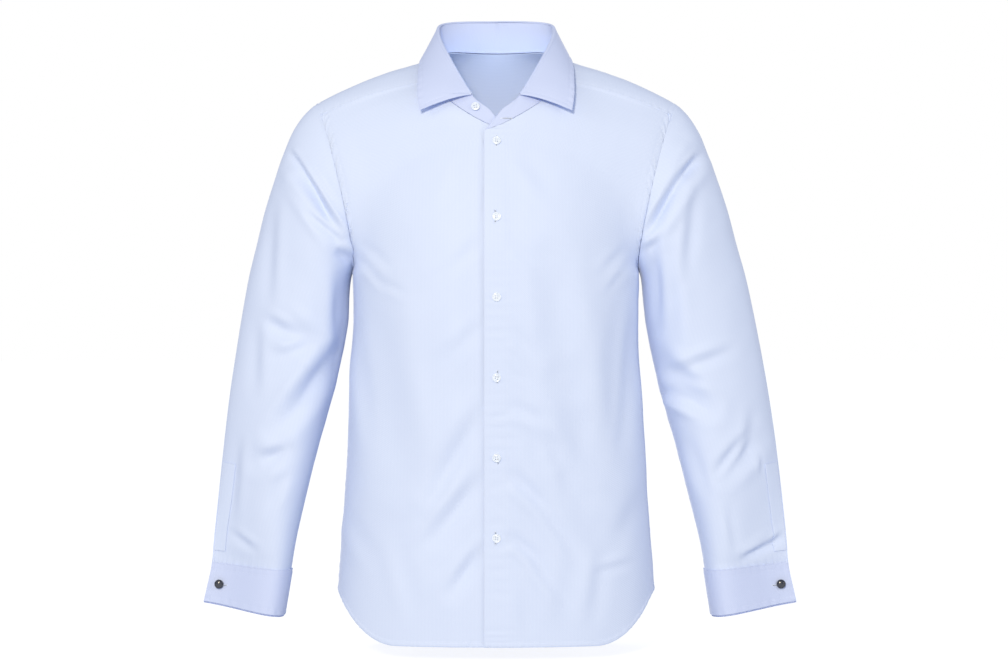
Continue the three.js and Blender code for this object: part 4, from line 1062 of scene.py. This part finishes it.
def smooth_chain(columns, count=60):
    """A smooth line through half a table, and its mirror image beyond the middle."""
    last = len(columns["x"]) - 1
    beyond = {"x": -1, "y": 1, "z": 1}
    whole = {name: np.append(column, beyond[name] * column[-2]) for name, column in columns.items()}
    found = read(whole, np.linspace(0, last, count))
    half = np.stack([found["x"], found["y"], found["z"]], -1)
    return np.concatenate([half, mirrored(half[-2::-1])])


def along_chain(points, fractions):
    far = lengths(points[None], 1)[0]
    return np.stack([np.interp(np.asarray(fractions) * far[-1], far, points[:, k]) for k in range(3)], -1)


def out_of_neck(points):
    return (points + np.array([0, 5, 0])) * np.array([1, 1, 0])


def lap_apart(points, shares):
    side = np.where(shares < 0.5, 1, -1)
    near = 1 - smooth(np.abs(points[:, 0]), LAP_FADE_FROM, LAP_FADE_TO)
    moved = points.copy()
    moved[:, 1] -= side * LAP_LIFT * near
    return moved


NECK_GAP, FOLD_GAP = 0.8, 1.1
STAND_CORNER, STAND_STEPS = 13, 26
LEAF_START, LEAF_ARCH, LEAF_ARCH_LEAN, LEAF_ARCH_REACH, LEAF_BELLY, LEAF_ROLL = 23, 2.4, 0.7, 0.12, 3, 1.4
LEAF_WALL = 1.4


def make_stand(neck):
    shares = spaced(230, (0.0, 1.0), 0.02, 6)
    bottoms = along_chain(neck, shares)
    tops = lap_apart(along_chain(smooth_chain(FOLD_LINE), shares), shares)
    far = lengths(bottoms[None], 1)[0]
    from_end = np.minimum(far, far[-1] - far)
    height = np.linalg.norm(tops - bottoms, axis=-1)
    short = STAND_CORNER * (1 - np.sqrt(1 - np.clip(1 - from_end / STAND_CORNER, 0, 1) ** 2))
    reach = (1 - short / height)[None, :, None]
    ups = spaced(STAND_STEPS, (0.0, 1.0), 0.05, 3)[:, None, None]
    start = bottoms + unit(tops - bottoms) * NECK_GAP
    grid = lerp(start[None], tops[None], ups * reach)
    panel = Panel(grid, out_of_neck(grid))
    ends = np.minimum(panel.across, panel.from_right())
    relief = topstitch(panel.along, 2.2, 101, panel.across) + topstitch(ends, 4.0, 103, panel.along)
    relief -= 0.4 * np.exp(-((ends / 0.8) ** 2))
    panel.move(relief)
    inner = Panel(grid, -out_of_neck(grid))
    inner.points = panel.points - panel.normals * COLLAR_SHELL
    inward = topstitch(inner.along, 3.0, 105, inner.across) + 0.15 * ripple(grid, 26, 107)
    inner.move(inward * smooth(ends, 0, 4))
    build = Build()
    add_shell(build, panel.points, inner.points, panel.across, panel.along)
    return panel, inner, build, tops, shares


def make_leaf(tops, shares):
    far = lengths(tops[None], 1)[0]
    spare = LEAF_START / far[-1]
    share = spaced(200, (0.0, 1.0), 0.02, 5)
    places = lerp(spare, 1 - spare, share)
    top = along_chain(tops, places)
    out = unit(out_of_neck(top))
    bottom = along_chain(smooth_chain(LEAF_EDGE), share)
    near_end = 1 - smooth(np.minimum(share, 1 - share), 0, LEAF_ARCH_REACH)
    up = np.array([0, 0, 1.0])
    outside = LEAF_ROLL + LEAF_WALL

    def rolled(turn, height, inside, outside_reach):
        reach = inside if turn < 0 else outside_reach
        return top + up * height * math.cos(turn) + out * reach * math.sin(turn)

    def fallen(t, away):
        start = top + out * away
        arch = LEAF_ARCH * near_end * math.sin(math.pi * t**LEAF_ARCH_LEAN)
        return lerp(start, bottom, t) + up * arch[:, None] + out * LEAF_BELLY * math.sin(math.pi * t)

    turns = np.radians(np.linspace(-75, 90, 12))
    falls = spaced(46, (0.0, 1.0), 0.05, 4)[1:]
    outer = np.stack([rolled(turn, FOLD_GAP + LEAF_WALL, LEAF_WALL + 0.5, outside) for turn in turns]
                     + [fallen(t, outside) for t in falls])
    panel = Panel(outer, out_of_neck(outer) + np.array([0, 0, 40]))
    falling = smooth(panel.along, 4, 12)
    ends = np.minimum(panel.across, panel.from_right())
    edge = np.minimum(panel.from_top(), np.where(falling > 0, ends, 99))
    relief = topstitch(edge, 6.0, 111, panel.across) * falling - 0.4 * np.exp(-((edge / 0.9) ** 2)) * falling
    relief += 0.2 * falling * ripple(outer, 40, 113) * smooth(edge, 0, 12)
    flat_normals = panel.normals.copy()
    inner = outer - flat_normals * LEAF_WALL
    rolled_inner = np.stack([rolled(turn, FOLD_GAP, 0.35, LEAF_ROLL) for turn in turns])
    blend = smooth(np.arange(len(outer)), len(turns) - 3, len(turns) + 4)[:, None, None]
    inner[:len(turns)] = rolled_inner
    inner = np.where(np.arange(len(outer))[:, None, None] < len(turns), inner,
                     lerp(np.concatenate([rolled_inner, inner[len(turns):]]), inner, blend))
    panel.move(relief)
    build = Build()
    add_shell(build, panel.points, inner, panel.across, panel.along)
    return panel, build


# Put the cloth pieces together

left, left_build, left_neck = make_front(1)
right, right_build, right_neck = make_front(-1)
right_neck = mirrored(right_neck)
right.mirror()
right_build.mirror()
back, back_build = make_back()
yoke, yoke_build, yoke_neck_edge = make_yoke(spaced(84, (0.0, 1.0), 0.03, 4))
neck_line = np.concatenate([left_neck, yoke_neck_edge, right_neck[::-1]])
stand, stand_inside, stand_build, fold_tops, fold_shares = make_stand(neck_line)
leaf, leaf_build = make_leaf(fold_tops, fold_shares)

pieces = {
    "front_left": (left_build, CLOTH),
    "front_right": (right_build, CLOTH),
    "back": (back_build, CLOTH),
    "yoke": (yoke_build, CLOTH),
    "collar_stand": (stand_build, COLLAR_CLOTH_PAINTED_SHADE),
    "collar_leaf": (leaf_build, COLLAR_CLOTH_PAINTED_SHADE),
}
sleeves, plackets, cuffs = {}, {}, {}
for side, word in ((1, "left"), (-1, "right")):
    sleeves[word], build = make_sleeve(side)
    pieces[f"sleeve_{word}"] = (build, CLOTH)
    plackets[word], build = make_sleeve_placket(side)
    pieces[f"placket_{word}"] = (build, CLOTH)
    cuffs[word], build = make_cuff(side)
    pieces[f"cuff_{word}"] = (build, COLLAR_CLOTH_PAINTED_SHADE)

cloth = {
    node: finish_piece(f"cloth_{node}", build, material, node)
    for node, (build, material) in pieces.items()
}


# Topstitching, laid on the finished surfaces

STITCH_LINES = Build()


def stitch_edge(panel, edge, distance, start=0.0, end=1.0):
    points, normals = panel.inset(edge, distance, start, end)
    add_stitches(STITCH_LINES, points, normals)


underarm = left.rows_below / left.points.shape[0]
for panel in (left, right):
    stitch_edge(panel, "bottom", 6.0)
    stitch_edge(panel, "right", 8.0, underarm, 1.0)
    stitch_edge(panel, "right", 5.0, 0.0, underarm)
stitch_edge(left, "left", 27.6, 0.0, underarm + 0.16)
stitch_edge(back, "bottom", 6.0)
stitch_edge(back, "left", 8.0, underarm, 1.0)
stitch_edge(back, "right", 8.0, underarm, 1.0)
stitch_edge(yoke, "top", 6.0)
stitch_edge(yoke, "left", 4.0)
stitch_edge(yoke, "right", 4.0)
for edge in ("left", "right"):
    stitch_edge(stand, edge, 4.0)
    stitch_edge(leaf, edge, 6.0, 0.34, 0.97)
stitch_edge(stand, "bottom", 2.2)
stitch_edge(stand_inside, "bottom", 3.0)
stitch_edge(leaf, "top", 6.0, 0.04, 0.96)
for word in ("left", "right"):
    for edge in ("left", "right"):
        stitch_edge(plackets[word], edge, 1.8)
        stitch_edge(cuffs[word], edge, 6.0)
    for line in (1.2, 13.0, 15.5):
        stitch_edge(plackets[word], "bottom", line)
    stitch_edge(cuffs[word], "bottom", 2.2)
    stitch_edge(cuffs[word], "bottom", 8.2)
    stitch_edge(cuffs[word], "top", 6.0)
finish_piece("topstitching", STITCH_LINES, THREAD)


# Buttons with their holes and thread, and the worked buttonholes


def nearest(panel, x, z, facing=-1):
    """The place on a panel that lies at x and z as seen from the front."""
    away = (panel.points[..., 0] - x) ** 2 + (panel.points[..., 2] - z) ** 2
    away = away + 1e6 * (panel.normals[..., 1] * facing < 0)
    r, c = np.unravel_index(np.argmin(away), away.shape)
    return panel.points[r, c], panel.normals[r, c]


BUTTON_RADIUS, BUTTON_HEIGHT, HOLE_RADIUS, HOLE_PLACE = 5.5, 2.0, 0.75, 1.35


def lathe(profile, sides=48):
    """A turned form about +Z, from (radius, height) pairs that start and end on the axis."""
    turn = np.arange(sides) / sides * 2 * math.pi
    radius, height = np.array(profile, float).T
    ring = np.stack([radius[:, None] * np.cos(turn), radius[:, None] * np.sin(turn),
                     height[:, None] + 0 * turn], -1)
    middle = ring[1:-1]
    rows = len(middle)
    faces, _ = grid_faces(rows, sides, True)
    points = np.concatenate([middle.reshape(-1, 3), ring[0, :1], ring[-1, :1]])
    around = np.arange(sides)
    low = [[rows * sides, (k + 1) % sides, k] for k in around]
    high = [[rows * sides + 1, (rows - 1) * sides + k, (rows - 1) * sides + (k + 1) % sides] for k in around]
    return points, faces.tolist() + low + high


def rounded_profile():
    """A button's section: a rounded rim round a shallow dish."""
    rim_turn = np.radians(np.linspace(-60, 240, 14))
    rim_radius = 0.85
    rim = [(BUTTON_RADIUS - rim_radius + rim_radius * math.cos(t - math.radians(60)),
            BUTTON_HEIGHT - rim_radius + rim_radius * math.sin(t - math.radians(60))) for t in rim_turn]
    rim = [(r, z) for r, z in rim if z > 0.05 and r > BUTTON_RADIUS - 1.75]
    dish = BUTTON_HEIGHT - 0.75
    return [(0, 0), (BUTTON_RADIUS - 1.2, 0), *rim, (BUTTON_RADIUS - 2.2, dish + 0.12), (BUTTON_RADIUS - 2.8, dish),
            (0, dish)]


def button_mesh():
    points, faces = lathe(rounded_profile())
    mesh = bpy.data.meshes.new("button")
    mesh.from_pydata((points * METRES).tolist(), [], faces)
    body = bpy.data.objects.new("button_blank", mesh)
    bpy.context.scene.collection.objects.link(body)
    cutter = Build()
    for across in (-1, 1):
        for up in (-1, 1):
            pin, pin_faces = lathe([(0, -1), (HOLE_RADIUS, -1), (HOLE_RADIUS, 3), (0, 3)], 16)
            pin = pin + np.array([across, up, 0]) * HOLE_PLACE
            for kind in (3, 4):
                chosen = [f for f in pin_faces if len(f) == kind]
                cutter.add(pin, chosen)
    cut_mesh = bpy.data.meshes.new("button_holes")
    cut_mesh.from_pydata((np.concatenate(cutter.points) * METRES).tolist(), [], cutter.faces)
    cut_mesh.update()
    merge = bpy.data.objects.new("button_cutter", cut_mesh)
    bpy.context.scene.collection.objects.link(merge)
    weld = merge.modifiers.new("weld", "WELD")
    weld.merge_threshold = 0.00001
    cut = body.modifiers.new("holes", "BOOLEAN")
    cut.object, cut.operation, cut.solver = merge, "DIFFERENCE", "EXACT"
    found = bpy.data.meshes.new_from_object(body.evaluated_get(bpy.context.evaluated_depsgraph_get()))
    for thing in (body, merge):
        bpy.data.objects.remove(thing)
    found.materials.clear()
    found.materials.append(PEARL)
    found.shade_smooth()
    found.set_sharp_from_angle(angle=math.radians(40))
    return found


BUTTON_MESH = button_mesh()


def frame_at(normal):
    """Side and up directions in the cloth at a place that faces normal."""
    side = unit(np.cross(np.array([0, 0, 1.0]), -normal))
    return side, unit(np.cross(-normal, side))


def thread_loops(build, centre, normal, side, up):
    """Two parallel turns of thread through a button's four holes."""
    for across in (-1, 1):
        for strand in (-0.28, 0.0, 0.28):
            t = np.linspace(-1, 1, 9)[:, None]
            rise = BUTTON_HEIGHT - 0.75 + 0.35 * np.sqrt(np.maximum(1 - t**4, 0)) - 0.6 * (np.abs(t) > 0.95)
            line = centre + side * (across * HOLE_PLACE + strand) + up * (t * HOLE_PLACE) + normal * rise
            add_tube(build, line, 0.16)


def add_tube(build, line, radius, sides=6):
    forward = unit(np.gradient(line, axis=0))
    guide = np.array([0.31, 0.17, 0.93])
    side = unit(np.cross(forward, guide))
    up = np.cross(forward, side)
    turn = np.arange(sides) / sides * 2 * math.pi
    ring = side[:, None] * np.cos(turn)[None, :, None] + up[:, None] * np.sin(turn)[None, :, None]
    points = line[:, None] + ring * radius
    faces, _ = grid_faces(len(line), sides, True)
    build.add(points.reshape(-1, 3), faces)


def worked_hole(thread, slit_shade, panel, x, z, length, upright=True):
    """A buttonhole: a slit, drawn as a thin dark sheet of painted shade, with close stitches across both of its edges.
    """
    centre, normal = nearest(panel, x, z)
    side, up = frame_at(normal)
    if not upright:
        side, up = up, side
    places = np.linspace(-length / 2, length / 2, int(length / 0.45))
    for edge in (-1, 1):
        for place in places:
            near = edge * 0.25
            far = edge * 1.15
            base = centre + up * place + normal * 0.12
            t = np.linspace(0, 1, 4)[:, None]
            add_tube(thread, base + side * lerp(near, far, t) + normal * 0.12 * np.sin(math.pi * t), 0.17, 4)
    for place in (-length / 2 - 0.3, length / 2 + 0.3):
        for strand in np.linspace(-0.5, 0.5, 4):
            base = centre + up * (place + strand * 0.6) + normal * 0.16
            t = np.linspace(-1.2, 1.2, 5)[:, None]
            add_tube(thread, base + side * t, 0.17, 4)
    # The slit itself: a thin dark box on the cloth, painted shade.
    corners = [centre + up * a * (length / 2 - 0.2) + side * b * 0.22 + normal * 0.14
               for a, b in ((-1, -1), (-1, 1), (1, 1), (1, -1))]
    low = [corner - normal * 0.1 for corner in corners]
    slit_shade.add(np.array(corners + low), np.array([[0, 1, 2, 3], [7, 6, 5, 4], [0, 3, 7, 4], [1, 0, 4, 5],
                                              [2, 1, 5, 6], [3, 2, 6, 7]]))


def box_centre(node):
    low, high = (np.array(corner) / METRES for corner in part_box(node))
    return (low + high) / 2


hole_thread, hole_slit_shade, button_thread = Build(), Build(), Build()
button_seats = [(f"button_{i}", left) for i in range(1, 7)] + [("button_collar", stand)]
for number, (node, panel) in enumerate(button_seats):
    middle = box_centre(node)
    _, normal = nearest(panel, middle[0], middle[2])
    side, up = frame_at(normal)
    turn = math.radians((7, -12, 4, 15, -6, 9, -10)[number])
    side, up = side * math.cos(turn) + up * math.sin(turn), up * math.cos(turn) - side * math.sin(turn)
    base = middle - normal * BUTTON_HEIGHT / 2
    piece = bpy.data.objects.new(f"{node}_pearl", BUTTON_MESH.copy())
    bpy.context.scene.collection.objects.link(piece)
    matrix = np.eye(4)
    matrix[:3, 0], matrix[:3, 1], matrix[:3, 2] = side, up, normal
    matrix[:3, 3] = base * METRES
    piece.data.transform(Matrix(matrix.tolist()))
    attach(piece, "root")
    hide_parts(node)
    thread_loops(button_thread, base, normal, side, up)
    if panel is left:
        worked_hole(hole_thread, hole_slit_shade, left, middle[0], middle[2] - 1.0, 15)

worked_hole(hole_thread, hole_slit_shade, stand, 12, -78, 13, upright=False)


# Cufflinks, on their buttonholes


def make_link(word, side):
    low, high = (np.array(corner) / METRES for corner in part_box(f"cufflink_{word}"))
    middle = (low + high) / 2
    radius = (high[0] - low[0]) / 2
    build = Build()
    dome = np.radians(np.linspace(0, 84, 9))
    head = 2.8
    rim = [(radius - 0.35, 0.0), (radius, 0.3), (radius, 0.9), (radius - 0.3, 1.2), (radius - 0.9, 1.25)]
    top = [((radius - 1.0) * math.cos(t), 1.15 + (head - 1.15) * math.sin(t)) for t in dome]
    for way, base in ((-1, low[1] + head), (1, high[1] - head)):
        points, faces = lathe([(0, 0), *rim, *top, (0, head)], 40)
        turned = np.stack([points[:, 0], way * points[:, 2] + base, points[:, 1]], -1)
        turned += np.array([middle[0], 0, middle[2]])
        for kind in (3, 4):
            chosen = [face if way > 0 else face[::-1] for face in faces if len(face) == kind]
            build.add(turned, [face[::-1] for face in chosen])
    post = np.linspace(low[1] + head, high[1] - head, 6)
    line = np.stack([np.full(6, middle[0]), post, np.full(6, middle[2])], -1)
    add_tube(build, line, 1.5, 16)
    piece = finish_piece(f"cufflink_{word}_enamel", build, ENAMEL, f"cufflink_{word}", 35)
    worked_hole(hole_thread, hole_slit_shade, cuffs[word], middle[0] - side * 2.5, middle[2], 16, upright=False)
    return piece


for side, word in ((1, "left"), (-1, "right")):
    make_link(word, side)

finish_piece("button_thread", button_thread, THREAD)
finish_piece("buttonhole_thread", hole_thread, THREAD)
# The dark slit sheets: painted shade in the buttonholes.
finish_piece("buttonhole_painted_shade_slits", hole_slit_shade, SLIT_SHADE)


# Floor, light and camera

FLOOR_Z = -742
floor_material, floor_shader = new_material("floor_white", (0.35, 0.35, 0.35), 0.9, specular_ior_level=0.0)
floor_shader.inputs["Emission Color"].default_value = (1, 1, 1, 1)
floor_shader.inputs["Emission Strength"].default_value = 0.86
floor_mesh = bpy.data.meshes.new("floor")
reach = 40.0
floor_mesh.from_pydata(
    [(-reach, -reach, FLOOR_Z * METRES), (reach, -reach, FLOOR_Z * METRES),
     (reach, reach, FLOOR_Z * METRES), (-reach, reach, FLOOR_Z * METRES)], [], [(0, 1, 2, 3)]
)
floor_mesh.materials.append(floor_material)
floor = bpy.data.objects.new("floor", floor_mesh)
bpy.context.scene.collection.objects.link(floor)
floor.visible_diffuse = False

world = bpy.data.worlds.new("studio")
bpy.context.scene.world = world
world.use_nodes = True
SOFT_LIGHT = (0.44, 0.478, 0.570, 1)
SEEN_WHITE = (1, 1, 1, 1)
world_tree = world.node_tree
rays = world_tree.nodes.new("ShaderNodeLightPath")
sky = world_tree.nodes.new("ShaderNodeMix")
sky.data_type = "RGBA"
sky.inputs[6].default_value = SOFT_LIGHT
sky.inputs[7].default_value = SEEN_WHITE
world_tree.links.new(rays.outputs["Is Camera Ray"], sky.inputs["Factor"])
world_tree.links.new(sky.outputs[2], world_tree.nodes["Background"].inputs["Color"])
bpy.context.scene.view_settings.view_transform = "Standard"


def add_area(name, place, target, size, watts, color):
    light = bpy.data.lights.new(name, "AREA")
    light.shape, light.size, light.energy, light.color = "DISK", size, watts, color
    lamp = bpy.data.objects.new(name, light)
    bpy.context.scene.collection.objects.link(lamp)
    lamp.location = place
    lamp.rotation_mode = "QUATERNION"
    lamp.rotation_quaternion = (Vector(target) - Vector(place)).to_track_quat("-Z", "Y")


add_area("key", (-0.8, -5.0, 1.2), (0, 0, -0.32), 0.9, 176, (1.0, 0.888, 0.655))
add_area("side", (-2.9, -1.7, 1.2), (0, 0, -0.35), 0.8, 10, (1.0, 0.888, 0.655))
add_area("fill", (2.8, -1.7, 0.2), (0, 0, -0.35), 1.2, 13, (1.0, 0.90, 0.69))
add_area("neck", (0, -0.02, 0.022), (0, 0.07, -0.15), 0.06, 0.05, (0.48, 0.70, 1.0))

camera_data = bpy.data.cameras.new("camera")
camera_data.sensor_width = 36
camera_data.lens = 99.2
camera_data.clip_end = 200
camera = bpy.data.objects.new("camera", camera_data)
camera.location = (0.010, -3.5, -0.345)
camera.rotation_euler = (math.pi / 2, 0, 0)
bpy.context.scene.collection.objects.link(camera)
bpy.context.scene.camera = camera
